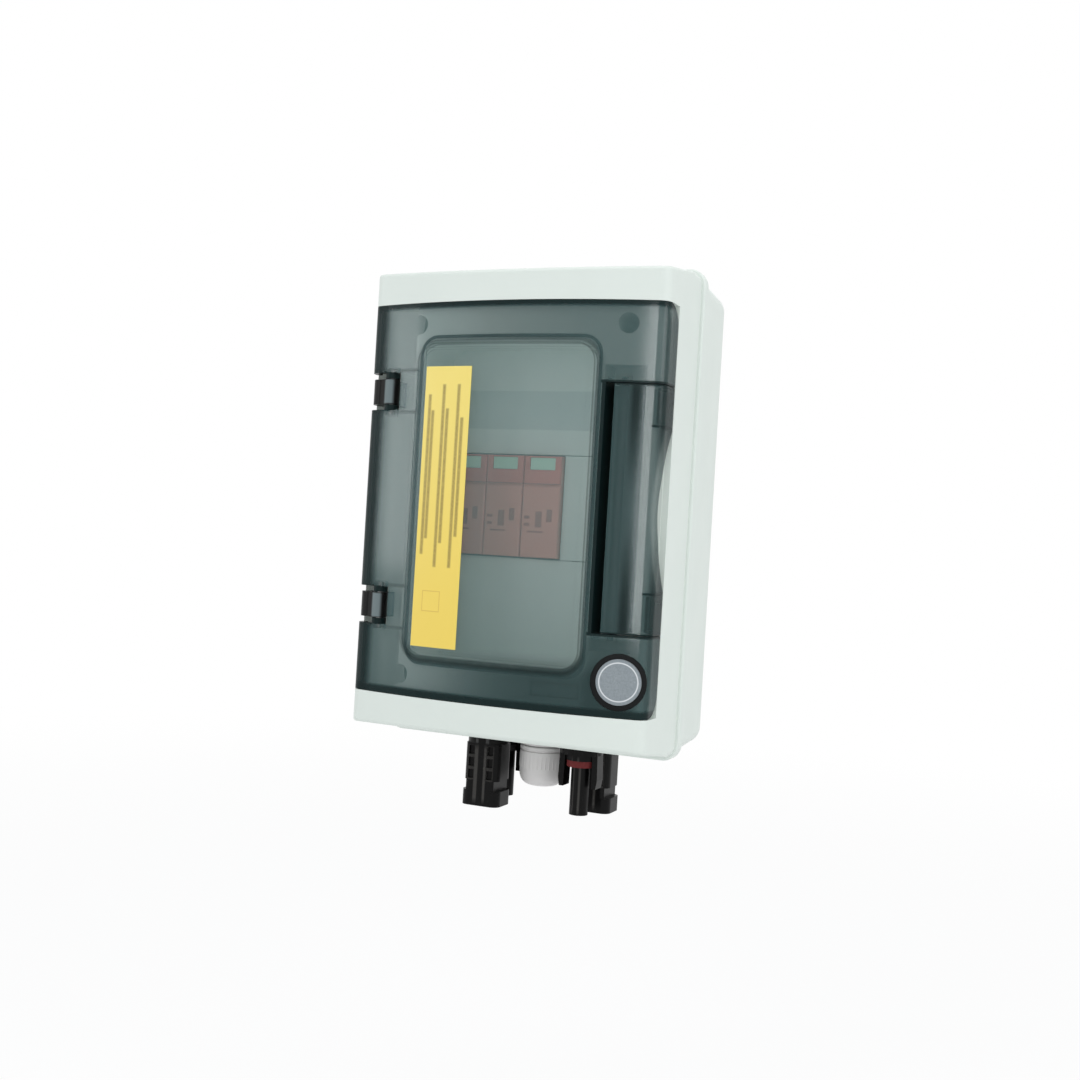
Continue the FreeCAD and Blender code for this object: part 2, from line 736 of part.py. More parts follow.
def round_skirt(body, start, end, radius, turned):
    """Round the two back corners of one of the door's skirts."""
    corners = draw(body, "side", start)
    for way, bend in (("-", ""), ("+", "-")):
        edge = f"{way} door_height / 2"
        level = f"{way} (door_height / 2 - {radius})"
        beyond = f"{way} door_height"
        outline(corners, [
            (f"-({end})", level), (f"-({end}) + door_wall", level), (f"-({end}) + door_wall", beyond),
            (f"-({end} + {radius})", beyond), (f"-({end} + {radius})", edge, f"{bend}{radius}"),
        ])
    pocket(corners, "front_width / 4", turned=turned)


def make_door():
    """The smoked door: bowed plate with skirts, raised window panel, hinge notches and handle opening."""
    body = new_body("door")
    plan = draw(body, "plan")
    shoulder = "front_width / 2"
    outline(plan, [
        (f"-{side('left_end')}", "-left_end"),
        *bowed_run(f"-{shoulder}", shoulder, "0"),
        (side("right_end"), "-right_end"),
    ])
    pad(plan, "door_height", both=True)
    round_cheeks(body, "0")
    raise_patch(body, "panel_width", "panel_height", "panel_radius", "panel_rise")
    raise_patch(body, "panel_width - 2 * pane_margin", "panel_height - 2 * pane_margin",
                "(panel_radius - pane_margin)", "panel_rise + pane_rise")
    hollow = draw(body, "plan")
    inner = "(front_width / 2 - door_wall)"
    hollow_back = "(right_end - 2 * door_wall)"
    outline(hollow, [
        (f"-{side(hollow_back, 'door_wall')}", f"-{hollow_back}"),
        *bowed_run(f"-{inner}", inner, "door_wall"),
        (side(hollow_back, "door_wall"), f"-{hollow_back}"),
    ])
    pocket(hollow, "2 * door_height", both=True)
    round_cheeks(body, "door_wall")
    relief = draw(body, "plan")
    half = "(panel_width / 2 - door_wall)"
    outline(relief, [
        *bowed_run(f"-{half}", half, "door_wall - panel_rise"),
        *bowed_back(half, f"-{half}", "door_wall + 1"),
    ])
    pocket(relief, "panel_height - 2 * door_wall", both=True)
    for up in ("-hinge_spacing / 2", "hinge_spacing / 2"):
        band = draw(body, "plan", up)
        outline(band, [
            *bowed_run("-hinge_x - cheek_radius / 2", "-panel_width / 2", "-1"),
            *bowed_back("-panel_width / 2", "-hinge_x - cheek_radius / 2", "band_depth"),
        ])
        pocket(band, "band_height", both=True)
        notch = draw(body, "front", "0", "0", up)
        rectangle(notch, "-housing_width", "-notch_edge", "-notch_height / 2", "notch_height / 2")
        pocket(notch, "2 * housing_depth", turned=True)
        for way in ("-", "+"):
            ear = draw(body, "plan", f"{up} {way} (notch_height / 2)")
            ring(ear, "knuckle_radius", "-hinge_x", "-hinge_depth")
            pad(ear, "2 * ear_wall", both=True)
        eye = draw(body, "plan", up)
        ring(eye, "pin_radius", "-hinge_x", "-hinge_depth")
        pocket(eye, "notch_height + 2 * ear_wall - 1", both=True)
    opening = draw(body, "front", "0")
    opening_half = "(handle_height / 2 + door_gap)"
    rectangle(opening, "slot_left", "housing_width", f"-{opening_half}", opening_half)
    pocket(opening, "2 * housing_depth", turned=True)
    turned_wall = draw(body, "plan")
    outline(turned_wall, [
        *bowed_run("slot_left - slot_wall", "slot_left", "door_wall / 2"),
        ("slot_left", f"-({front('slot_left', 'door_wall')} - slot_wall_depth)"),
        ("slot_left - slot_wall", f"-({front('slot_left', 'door_wall')} - slot_wall_depth)"),
    ])
    pad(turned_wall, "handle_height + 2 * pivot_reach", both=True)
    for way in ("-", "+"):
        boss = draw(body, "plan", f"{way} ({opening_half} + pivot_reach / 2 + 0.5)")
        ring(boss, "pivot_boss + 0.8", "pivot_x", "-pivot_depth")
        pad(boss, "pivot_reach + 1", both=True)
        socket = draw(body, "plan", f"{way} ({opening_half} + pivot_reach / 2 - 0.5)")
        ring(socket, "pivot_radius + running_gap", "pivot_x", "-pivot_depth")
        pocket(socket, "pivot_reach + 1", both=True)
    round_skirt(body, "front_width / 2 - cheek_radius", "right_end", "right_round", True)
    round_skirt(body, "-(front_width / 2 - cheek_radius)", "left_end", "left_round", False)
    seat = draw(body, "front", front("badge_x"), "badge_x", "-badge_z", "asin(badge_x / bow_radius)")
    ring(seat, "badge_radius + badge_ring + fit_gap")
    pocket(seat, "badge_sink")
    plate = draw(body, "plan", "-plate_z")
    outline(plate, [
        *bowed_run("plate_x - plate_width / 2", "plate_x + plate_width / 2", "-1"),
        *bowed_back("plate_x + plate_width / 2", "plate_x - plate_width / 2", "band_depth"),
    ])
    pocket(plate, "plate_height", both=True)
    return body


def make_hinge_pin(name, up):
    """A hinge pin, tight in the door's ears and free in the cover's lug."""
    body = new_body(name)
    section = draw(body, "plan", up)
    ring(section, "pin_radius", "-hinge_x", "-hinge_depth")
    pad(section, "notch_height + 2 * ear_wall - 1.5", both=True)


def make_door_handle():
    """The rocking handle: continues the door's bow, with trunnions at its left and a finger scoop."""
    body = new_body("door_handle")
    plan = draw(body, "plan")
    shoulder = "front_width / 2"
    inner = "front_width / 2 - door_wall"
    outline(plan, [
        *bowed_run("handle_left", shoulder, "0"),
        (side("right_end"), "-right_end"),
        (side("right_end", "door_wall"), "-right_end"),
        *bowed_back(inner, "handle_left", "door_wall"),
    ])
    pad(plan, "handle_height", both=True)
    round_cheeks(body, "0")
    round_cheeks(body, "door_wall")
    spine = draw(body, "plan")
    ring(spine, "pivot_boss", "pivot_x", "-pivot_depth")
    pad(spine, "handle_height", both=True)
    trunnions = draw(body, "plan")
    ring(trunnions, "pivot_radius", "pivot_x", "-pivot_depth")
    pad(trunnions, "handle_height + 2 * pivot_reach", both=True)
    scoop = draw(body, "side", "housing_width / 2 - 4 * door_wall")
    scoop_radius = "(((scoop_height / 2) ^ 2 + scoop_depth ^ 2) / (2 * scoop_depth))"
    outline(scoop, [
        ("-right_end", "scoop_height / 2", scoop_radius),
        ("-right_end", "-scoop_height / 2"),
        ("-right_end + 5", "-scoop_height / 2"),
        ("-right_end + 5", "scoop_height / 2"),
    ])
    pocket(scoop, "housing_width / 4", turned=True)
    for way in ("-", "+"):
        low, high = hook_span(way, "0")
        hook = draw(body, "front", "right_end")
        rectangle(hook, "front_width / 2 - door_wall - hook_rise", "front_width / 2 - door_wall / 2", low, high)
        pad(hook, "hook_depth")


def make_label():
    """The plain yellow strip on the door's window pane."""
    body = new_body("label_strip")
    strip = draw(body, "plan", "-label_bottom")
    low = "-(panel_rise + pane_rise + running_gap)"
    high = "-(panel_rise + pane_rise + label_thickness)"
    outline(strip, [
        *bowed_run("-label_left", "label_width - label_left", high),
        *bowed_back("label_width - label_left", "-label_left", low),
    ])
    pad(strip, "label_height")


def make_badge():
    """The round badge and the black ring that holds it in the door."""
    lean = "asin(badge_x / bow_radius)"
    seat = f"{front('badge_x')} - badge_sink * cos({lean})"
    shift = f"badge_x - badge_sink * sin({lean})"
    bezel = new_body("badge_ring")
    around = draw(bezel, "front", seat, shift, "-badge_z", lean)
    ring(around, "badge_radius + badge_ring")
    ring(around, "badge_radius + fit_gap")
    pad(around, "badge_sink - 0.1")
    disc = new_body("badge_disc")
    face = draw(disc, "front", seat, shift, "-badge_z", lean)
    ring(face, "badge_radius")
    pad(face, "badge_sink * 0.7")


def make_cover_screws():
    """The four screws that hold the cover to the back box."""
    places = [(across, up) for across in ("-screw_left", "screw_right") for up in ("-screw_z", "screw_z")]
    for number, (across, up) in enumerate(places):
        yield make_screw(f"cover_screw_{number + 1}", across, up, "screw_seat", "screw_head_radius",
                         "screw_head_height", "screw_seat - base_depth + screw_grip")


def make_screw(name, across, up, seat, head_radius, head_height, shank):
    """A slotted screw facing the front, with its head's underside on a seat."""
    body = document.addObject("PartDesign::Body", name)
    head = draw(body, "front", seat, across, up)
    ring(head, head_radius)
    pad(head, head_height)
    stem = draw(body, "front", seat, across, up)
    ring(stem, "screw_radius")
    pad(stem, shank, turned=True)
    slot = draw(body, "front", f"{seat} + {head_height}", across, up)
    rectangle(slot, f"-2 * {head_radius}", f"2 * {head_radius}", "-0.6", "0.6")
    pocket(slot, f"{head_height} / 2")
    return body


def gather(label, parts):
    """Identical pieces kept as one sub-part of separate solids."""
    group = document.addObject("Part::Compound", label)
    group.Label = label
    group.Links = list(parts)
    pieces.append(group)
    return group


def make_rail():
    """The 35 mm top-hat rail and the two screws that hold it on its posts."""
    body = new_body("din_rail")
    hat = draw(body, "side")
    back = "(base_wall + rail_stand)"
    web = "(rail_height / 2 - rail_flange + rail_sheet)"
    outline(hat, [
        (f"-{back}", f"-{web}"), (f"-{back}", web),
        (f"-({back} + rail_depth - rail_sheet)", web),
        (f"-({back} + rail_depth - rail_sheet)", "rail_height / 2"),
        (f"-({back} + rail_depth)", "rail_height / 2"),
        (f"-({back} + rail_depth)", f"{web} - rail_sheet"),
        (f"-({back} + rail_sheet)", f"{web} - rail_sheet"),
        (f"-({back} + rail_sheet)", f"-({web} - rail_sheet)"),
        (f"-({back} + rail_depth)", f"-({web} - rail_sheet)"),
        (f"-({back} + rail_depth)", "-rail_height / 2"),
        (f"-({back} + rail_depth - rail_sheet)", "-rail_height / 2"),
        (f"-({back} + rail_depth - rail_sheet)", f"-{web}"),
    ])
    pad(hat, "rail_length", both=True)
    holes = draw(body, "front", f"{back} + rail_depth")
    for across in ("-rail_screw_x", "rail_screw_x"):
        ring(holes, "screw_radius + fit_gap", across, "0")
    pocket(holes, "rail_depth")
    gather("rail_screws", [
        make_screw(f"rail_screw_{number}", across, "0", f"({back} + rail_sheet)", "screw_head_radius",
                   "(rail_depth - 3 * rail_sheet) / 2", "rail_stand + rail_sheet")
        for number, across in ((1, "-rail_screw_x"), (2, "rail_screw_x"))])


def module_middle(number):
    """Where the middle of a module of the surge protector lies."""
    return f"(module_width * {number + 0.5} - module_left)"


def make_surge_protector():
    """The rail-mounted base with its terminal towers, and the three plug-in modules."""
    base = new_body("surge_base")
    face = "rail_face"
    profile = draw(base, "side", "module_width * module_count / 2 - module_left")
    half = "device_height / 2"
    bay = "(plug_height / 2 + plug_gap)"
    back = f"({face} - 5.5)"
    lip = f"({face} - rail_sheet - 0.3)"
    outline(profile, [
        (f"-{back}", half), (f"-{back}", "rail_height / 2 - 2"), (f"-{lip}", "rail_height / 2 - 2"),
        (f"-{lip}", "rail_height / 2 + 0.3"), (f"-({face} + 0.2)", "rail_height / 2 + 0.3"),
        (f"-({face} + 0.2)", "-(rail_height / 2 + 0.3)"), (f"-{back}", "-(rail_height / 2 + 0.3)"),
        (f"-{back}", f"-{half}"), ("-tower_front", f"-{half}"), ("-tower_front", f"-{bay}"),
        ("-bay_floor", f"-{bay}"), ("-bay_floor", bay), ("-tower_front", bay), ("-tower_front", half),
    ])
    pad(profile, "module_width * module_count", both=True)
    wells = draw(base, "front", "tower_front")
    for number in range(3):
        for up in ("-terminal_z", "terminal_z"):
            ring(wells, "terminal_radius + fit_gap", module_middle(number), up)
    pocket(wells, "terminal_sink")
    threads = draw(base, "front", "tower_front - terminal_sink + 1")
    for number in range(3):
        for up in ("-terminal_z", "terminal_z"):
            ring(threads, "screw_radius + running_gap", module_middle(number), up)
    pocket(threads, "terminal_grip + 1.5")
    for way in ("-", "+"):
        entries = draw(base, "plan", f"{way} ({half})")
        for number in range(3):
            ring(entries, "terminal_radius + 0.6", module_middle(number), "-(tower_front * 0.55)")
        pocket(entries, "module_width * 0.6", turned=way == "-")
    latch_slot = draw(base, "front", f"{face} - 1", "module_width * module_count / 2 - module_left")
    rectangle(latch_slot, "-(latch_width / 2 + 0.3)", "latch_width / 2 + 0.3", f"-({half} + 1)", "-rail_height / 2")
    pocket(latch_slot, "10")
    latch = new_body("rail_latch")
    grip = draw(latch, "side", "module_width * module_count / 2 - module_left")
    outline(grip, [
        (f"-({back} + 0.3)", f"-({half} + 4)"), (f"-({back} + 0.3)", "-(rail_height / 2 - 2)"),
        (f"-{lip}", "-(rail_height / 2 - 2)"), (f"-{lip}", f"-({half} + 1)"),
        (f"-({lip} + 4)", f"-({half} + 1)"), (f"-({lip} + 4)", f"-({half} + 4)"),
    ])
    pad(grip, "latch_width", both=True)
    screws = []
    for number in range(3):
        middle = module_middle(number)
        for up in ("-terminal_z", "terminal_z"):
            screws.append(make_screw(f"terminal_screw_{len(screws) + 1}", middle, up,
                                     "(tower_front - terminal_sink)", "terminal_radius", "2", "terminal_grip"))
        plug = new_body(f"surge_plug_{number + 1}")
        block = draw(plug, "front", "bay_floor + plug_gap")
        rectangle(block, f"{middle} - module_width / 2 + plug_gap / 2", f"{middle} + module_width / 2 - plug_gap / 2",
                  "-plug_height / 2", "plug_height / 2")
        pad(block, "plug_front - bay_floor - plug_gap")
        dress(plug, "Fillet", "plug_round", lambda edge: all(near(-spot.y, "plug_front") for spot in spots(edge)))
        window = draw(plug, "front", "plug_front", middle, "flag_z")
        rectangle(window, "-flag_width / 2", "flag_width / 2", "-flag_height / 2", "flag_height / 2")
        pocket(window, "flag_sink")
        line = draw(plug, "front", "plug_front", middle, "grip_z")
        rectangle(line, "-module_width", "module_width", "-grip_line / 2", "grip_line / 2")
        pocket(line, "plug_round")
        flag = new_body(f"status_flag_{number + 1}")
        pane = draw(flag, "front", "plug_front - flag_sink", middle, "flag_z")
        rectangle(pane, "-(flag_width / 2 - fit_gap)", "flag_width / 2 - fit_gap",
                  "-(flag_height / 2 - fit_gap)", "flag_height / 2 - fit_gap")
        pad(pane, "flag_sink * 0.7")
    gather("terminal_screws", screws)


def make_blanking_plate():
    """The plate that closes the window's unused module place, with its two snap legs."""
    body = new_body("blanking_plate")
    left = "module_width * module_count - module_left + door_gap"
    right = "window_width - window_left - door_gap"
    plate = draw(body, "front", "tray_floor - 2")
    rectangle(plate, left, right, "-(window_height / 2 - door_gap)", "window_height / 2 - door_gap")
    pad(plate, "2")
    legs = draw(body, "front", "tray_floor - 2")
    edge = "(window_height / 2 - door_gap)"
    for way in ("-", "+"):
        rectangle(legs, f"{left} + 4", f"{right} - 4", f"{way} ({edge} - blank_leg)", f"{way} {edge}")
    pad(legs, "cover_wall + 2", turned=True)


def connector_places():
    """Names and places of the four panel connectors."""
    left, right = "entry_x - entry_spread", "entry_x + entry_spread"
    front_row, back_row = "-(entry_depth + entry_row)", "-(entry_depth - entry_row)"
    return {
        "wide_connector_left": (left, front_row), "slim_connector_left": (left, back_row),
        "slim_connector_right": (right, front_row), "wide_connector_right": (right, back_row),
    }


def stem_outline(sketch, lower):
    """Half the section of a connector body: thread, flange, then the lower corners."""
    outline(sketch, [
        ("3", "thread_rise"), ("thread_radius", "thread_rise"), ("thread_radius", "-seal_height"),
        ("flange_radius", "-seal_height"), ("flange_radius", "-(seal_height + flange_height)"), *lower,
    ])


def make_wide_connector(name, across, depth):
    """A wide-shell connector: squarish shell with recessed faces, catch notches and an open socket."""
    body = new_body(name)
    flange_low = "-(seal_height + flange_height)"
    stem = draw(body, "front")
    stem_outline(stem, [("3", flange_low)])
    turn_about(stem)
    shell = draw(body, "plan", flange_low)
    rounded(shell, "2 * (shell_half_width - shell_flare)", "2 * shell_radius", "shell_corner")
    pad(shell, "shell_length - seal_height - flange_height", turned=True)
    foot = draw(body, "plan", "-(notch_top + catch_height)")
    rounded(foot, "2 * shell_half_width", "2 * shell_radius", "shell_corner")
    pad(foot, "shell_length - notch_top - catch_height", turned=True)
    for radius, top in (("3", "seal_height"), ("shell_cavity", "seal_height + 2 * flange_height")):
        bore = draw(body, "plan", "-shell_length")
        ring(bore, radius)
        pocket(bore, f"shell_length - ({top})", turned=True)
    for way in ("-", "+"):
        notch = draw(body, "front", "0", "0", "-(notch_top + catch_height / 2)")
        rectangle(notch, f"{way} (shell_half_width - 2.4)", f"{way} (2 * shell_half_width)", "-catch_height / 2",
                  "catch_height / 2")
        pocket(notch, "2 * shell_half_width", both=True)
        face = draw(body, "front", f"{way} (shell_radius + 1)")
        for across_way in ("-", "+"):
            for row in range(3):
                top = f"-(seal_height + flange_height + 1 + {row} * recess_pitch)"
                rectangle(face, f"{across_way} (rib_width)", f"{across_way} (rib_width + 3)",
                          f"{top} - recess_rise", top)
        pocket(face, "recess_sink + 1", turned=way == "-")
    place(body, across, depth, "-housing_height / 2")


def make_slim_connector(name, across, depth):
    """A slim-probe connector: collar, hollow probe and two sprung arms."""
    body = new_body(name)
    section = draw(body, "front")
    stem_outline(section, [
        ("shell_radius - 1", "-(seal_height + flange_height)"),
        ("shell_radius - 1", "-(seal_height + 1.6 * flange_height)"),
        ("probe_radius", "-(seal_height + 1.6 * flange_height)"), ("probe_radius", "-probe_length"),
        ("probe_radius - 1.4", "-probe_length"), ("probe_radius - 1.4", "-(seal_height + flange_height)"),
        ("3", "-(seal_height + flange_height)"),
    ])
    turn_about(section)
    for way in ("-", "+"):
        arm = draw(body, "front")
        outline(arm, [
            (f"{way} (shell_half_width - arm_thickness)", "-seal_height - flange_height / 2"),
            (f"{way} (shell_half_width - 0.4)", "-seal_height - flange_height / 2"),
            (f"{way} shell_half_width", "-(arm_length - 4)"), (f"{way} (shell_half_width - 0.6)", "-arm_length"),
            (f"{way} (shell_half_width - arm_thickness + 0.4)", "-arm_length"),
        ])
        pad(arm, "shell_half_width * 0.8", both=True)
    place(body, across, depth, "-housing_height / 2")


def make_turned(name, corners, across, depth):
    """A turned piece about a vertical axis through an entry."""
    body = document.addObject("PartDesign::Body", name)
    section = draw(body, "front")
    outline(section, corners)
    turn_about(section)
    place(body, across, depth, "-housing_height / 2")
    return body


def make_hex(name, across_flats, bore, low, high, across, depth):
    """A hexagon nut about a vertical axis through an entry."""
    body = document.addObject("PartDesign::Body", name)
    face = draw(body, "plan", low)
    reach = f"({across_flats}) / sqrt(3)"
    outline(face, [(f"{reach} * cos({60 * turn})", f"{reach} * sin({60 * turn})") for turn in range(6)])
    ring(face, bore)
    pad(face, f"({high}) - ({low})")
    place(body, across, depth, "-housing_height / 2")
    return body


def make_connectors():
    """The four panel connectors with their seals, nuts and contacts."""
    seals, nuts, pins, sockets, rings = [], [], [], [], []
    for name, (across, depth) in connector_places().items():
        seals.append(make_turned(f"{name}_seal", [
            ("thread_radius + fit_gap", "0"), ("flange_radius", "0"), ("flange_radius", "-seal_height"),
            ("thread_radius + fit_gap", "-seal_height")], across, depth))
        nuts.append(make_hex(f"{name}_nut", "2 * flange_radius", "thread_radius + running_gap", "base_wall",
                             "base_wall + nut_height", across, depth))
        if name.startswith("wide"):
            make_wide_connector(name, across, depth)
            sockets.append(make_turned(f"{name}_contact", [
                ("1.6", "thread_rise"), ("3", "thread_rise"), ("3", "-(shell_length - 8)"),
                ("1.6", "-(shell_length - 8)")], across, depth))
        else:
            make_slim_connector(name, across, depth)
            pins.append(make_turned(f"{name}_contact", [
                ("0", "thread_rise"), ("2.9", "thread_rise"), ("2.9", "-seal_height"), ("1.5", "-seal_height"),
                ("1.5", "-(probe_length - 4)"), ("0", "-(probe_length - 3)")], across, depth))
            rings.append(make_turned(f"{name}_ring", [
                ("probe_radius + 0.05", "-(seal_height + 1.6 * flange_height + 0.1)"),
                ("shell_radius - 1.6", "-(seal_height + 1.6 * flange_height + 0.1)"),
                ("shell_radius - 1.6", "-(seal_height + 1.6 * flange_height + 3)"),
                ("probe_radius + 0.05", "-(seal_height + 1.6 * flange_height + 3)")], across, depth))
    gather("connector_seals", seals)
    gather("connector_nuts", nuts)
    gather("contact_sockets", sockets)
    gather("contact_pins", pins)
    gather("probe_rings", rings)


def make_gland():
    """The cable gland: body, dome nut, sealing insert, lock nut and washer."""
    across, depth = "entry_x", "-entry_depth"
    hex_low = "-(seal_height + gland_hex_height)"
    dome_low = f"({hex_low} - gland_nut_height)"
    core = "(gland_thread_radius - 2.4)"
    body = make_turned("gland_body", [
        (core, "thread_rise"), ("gland_thread_radius", "thread_rise"), ("gland_thread_radius", "-seal_height"),
        ("gland_radius - 0.6", "-seal_height"), ("gland_radius - 0.6", hex_low),
        ("gland_thread_radius", hex_low), ("gland_thread_radius", f"{hex_low} - 9"), (core, f"{hex_low} - 9"),
    ], across, depth)
    nut = make_turned("gland_nut", [
        ("gland_thread_radius + running_gap", f"{hex_low} - 0.4"), ("gland_radius", f"{hex_low} - 0.4"),
        ("gland_radius - 0.3", f"{dome_low} + gland_crown"),
        ("gland_radius - 1.6", f"{dome_low} + 0.42 * gland_crown"),
        ("gland_radius - 3.8", f"{dome_low} + 0.12 * gland_crown"), ("cable_hole_radius + 1.5", dome_low),
        ("cable_hole_radius", dome_low), ("cable_hole_radius", f"{dome_low} + 2"),
        ("gland_thread_radius + running_gap", f"{dome_low} + 7"),
    ], across, depth)
    insert = make_turned("gland_insert", [
        ("3.2", f"{hex_low} - 1"), (f"{core} - fit_gap", f"{hex_low} - 1"), (f"{core} - fit_gap", f"{hex_low} - 9.2"),
        (f"{core} + 0.8", f"{hex_low} - 10"), ("cable_hole_radius + 0.6", f"{dome_low} + 4.4"),
        ("3.2", f"{dome_low} + 3"),
    ], across, depth)
    washer = make_turned("gland_washer", [
        ("gland_thread_radius + fit_gap", "0"), ("gland_radius", "0"), ("gland_radius", "-seal_height"),
        ("gland_thread_radius + fit_gap", "-seal_height")], across, depth)
    locknut = make_hex("gland_locknut", "2 * gland_radius", "gland_thread_radius + running_gap", "base_wall",
                       "base_wall + nut_height", across, depth)
    for piece in (body, nut, insert, washer, locknut):
        piece.Label = piece.Name
        pieces.append(piece)


def check_and_write():
    """Stop on any failed feature or empty cut, then write each sub-part to its file."""
    document.recompute()
    for item in document.Objects:
        if "Invalid" in item.State or "Error" in item.State:
            raise RuntimeError(f"{item.Name} ({item.Label}) failed: {item.State}")
        if item.TypeId in ("PartDesign::Pocket", "PartDesign::Groove"):
            if item.Shape.Volume > item.BaseFeature.Shape.Volume - 0.01:
                raise RuntimeError(f"{item.Name} cuts nothing")
    os.makedirs("parts", exist_ok=True)
    for piece in pieces:
        shape = piece.Shape
        if shape.isNull() or not shape.isValid():
            raise RuntimeError(f"{piece.Label} has no valid shape")
        shape.exportStep(f"parts/{piece.Label}.step")
        print(f"{piece.Label}: {len(shape.Solids)} solids, {shape.Volume / 1000:.2f} cm3")


make_back_box()
make_front_cover()
make_cover_gasket()
make_door_seal()
make_door()
make_hinge_block("hinge_block_upper", "hinge_spacing / 2")
make_hinge_block("hinge_block_lower", "-hinge_spacing / 2")
make_hinge_pin("hinge_pin_upper", "hinge_spacing / 2")
make_hinge_pin("hinge_pin_lower", "-hinge_spacing / 2")
make_door_handle()
make_label()
make_badge()
gather("cover_screws", make_cover_screws())
make_rail()
make_surge_protector()
make_blanking_plate()
make_connectors()
make_gland()
check_and_write()
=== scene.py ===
"""Looks of the solar combiner box: finishes, gland cap, grip ribs, floor, lamps and camera.

Numbers that place a finish are millimetres: x to the right, y back to the wall and z up.
"""
import json
import math
import bmesh
import bpy
from mathutils import Matrix, Vector


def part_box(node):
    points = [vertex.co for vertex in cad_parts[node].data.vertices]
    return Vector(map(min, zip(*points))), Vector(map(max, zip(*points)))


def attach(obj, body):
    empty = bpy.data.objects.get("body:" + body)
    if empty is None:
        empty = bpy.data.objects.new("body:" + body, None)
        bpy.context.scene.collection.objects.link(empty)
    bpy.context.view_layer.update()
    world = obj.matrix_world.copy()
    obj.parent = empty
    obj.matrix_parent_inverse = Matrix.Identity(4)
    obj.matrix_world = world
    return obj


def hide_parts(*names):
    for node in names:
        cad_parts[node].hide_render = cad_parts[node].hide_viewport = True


MM = 0.001
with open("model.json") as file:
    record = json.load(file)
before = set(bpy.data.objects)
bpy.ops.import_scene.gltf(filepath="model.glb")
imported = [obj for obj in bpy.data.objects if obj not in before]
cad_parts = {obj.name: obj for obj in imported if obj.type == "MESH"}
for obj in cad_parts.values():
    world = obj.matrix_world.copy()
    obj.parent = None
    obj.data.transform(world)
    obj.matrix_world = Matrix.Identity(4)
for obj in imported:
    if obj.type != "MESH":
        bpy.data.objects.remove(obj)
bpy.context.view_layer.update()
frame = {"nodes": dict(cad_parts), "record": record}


def tone(red, green, blue):
    """A colour given as it looks on a screen, 0 to 255, as the shader wants it."""
    def linear(step):
        part = step / 255
        return part / 12.92 if part <= 0.04045 else ((part + 0.055) / 1.055) ** 2.4
    return (linear(red), linear(green), linear(blue), 1.0)


WHITE = (1, 1, 1, 1)
PALE = (tone(226, 233, 227), tone(217, 225, 219))
BLACK = (tone(13, 13, 13), tone(8, 8, 8))
SMOKE_THIN = (tone(116, 152, 153), tone(107, 143, 144))
# The darker smoke is for thicker plastic and for painted shade; the darkest is for edges seen
# edge-on and for painted shade and shadow.
SMOKE_SHADED_THICK = tone(60, 94, 94)
SMOKE_EDGE_AND_SHADE = (tone(10, 26, 26), tone(16, 33, 33))

WINDOW_WIDTH, WINDOW_HEIGHT, WINDOW_RADIUS = 83, 136.5, 9
# How far above and below zero the middles of the hinges lie.
HINGE_HEIGHT = 47
TRAY_FLOOR = -67
PLUG_LEFT, PLUG_PITCH, PLUG_FRONT = -37, 18, -69.4

# Each bar printed on the label: its middle, its foot and its head.
LABEL_BARS = ((-33.5, -23.4, 45), (-31.7, -16.6, 38.2), (-26.5, -28.6, 49.3),
              (-24.4, -18.3, 39), (-19.2, -28.6, 49.3), (-17, -15.3, 35.2))
LABEL_BAR_HALF = 0.75
LABEL_SQUARE_X, LABEL_SQUARE_Z = -27.2, -43.2

# Each field printed on a plug: left and right from the plug's edge, foot and head.
PLUG_FIELDS = ((1.5, 4.1, -5.4, -4), (1.5, 4.1, -8.6, -7.2), (6.8, 9.9, -9, -2),
               (12.1, 14.7, -6.5, -1), (3.3, 10.8, -11.4, -10.6))

# Each painted highlight on a rib of a connector: its middle from the connector's middle, and half
# its width.
WIDE_RIB_HIGHLIGHTS = ((-2.2, 0.9), (2.3, 0.6))
SLIM_RIB_HIGHLIGHTS = ((-1.7, 0.2), (1.2, 0.45))
# How far in front of and behind a connector's middle its marks begin.
WIDE_FACE, SLIM_FACE = 6.9, 1.5
# The hollows of a wide connector: where the first begins, their spacing and their height.
HOLLOW_TOP, HOLLOW_PITCH, HOLLOW_HEIGHT = -111.5, 5.6, 4.2


class Reading:
    """The output of a node, with arithmetic that adds Math nodes."""

    def __init__(self, maker, socket):
        self.maker = maker
        self.socket = socket

    def math(self, operation, *others):
        return self.maker.node("ShaderNodeMath", {"operation": operation}, [self, *others])

    def __add__(self, other):
        return self.math("ADD", other)

    __radd__ = __add__

    def __mul__(self, other):
        return self.math("MULTIPLY", other)

    __rmul__ = __mul__

    def __sub__(self, other):
        return self.math("SUBTRACT", other)

    def __rsub__(self, other):
        return self.maker.node("ShaderNodeMath", {"operation": "SUBTRACT"}, [other, self])

    def __pow__(self, other):
        return self.math("POWER", other)

    def __mod__(self, other):
        return self.math("FLOORED_MODULO", other)

    def __abs__(self):
        return self.math("ABSOLUTE")

    def larger(self, other):
        return self.math("MAXIMUM", other)

    def smaller(self, other):
        return self.math("MINIMUM", other)

    def above(self, low, soft=0.15):
        """1 above a number of millimetres, with a soft start."""
        return self.maker.node("ShaderNodeMapRange", {}, {
            "Value": self, "From Min": (low - soft) * MM, "From Max": (low + soft) * MM})

    def below(self, high, soft=0.15):
        """1 below a number of millimetres, with a soft end."""
        return 1 - self.above(high, soft)

    def between(self, low, high, soft=0.15):
        """1 between two numbers of millimetres, with soft ends."""
        return self.above(low, soft) * self.below(high, soft)

    def fade(self, start, end):
        """0 up to one number of millimetres and 1 from another on, with a smooth change between."""
        low, high = sorted((start, end))
        rise = self.maker.node("ShaderNodeMapRange", {"interpolation_type": "SMOOTHSTEP"}, {
            "Value": self, "From Min": low * MM, "From Max": high * MM})
        return rise if end > start else 1 - rise


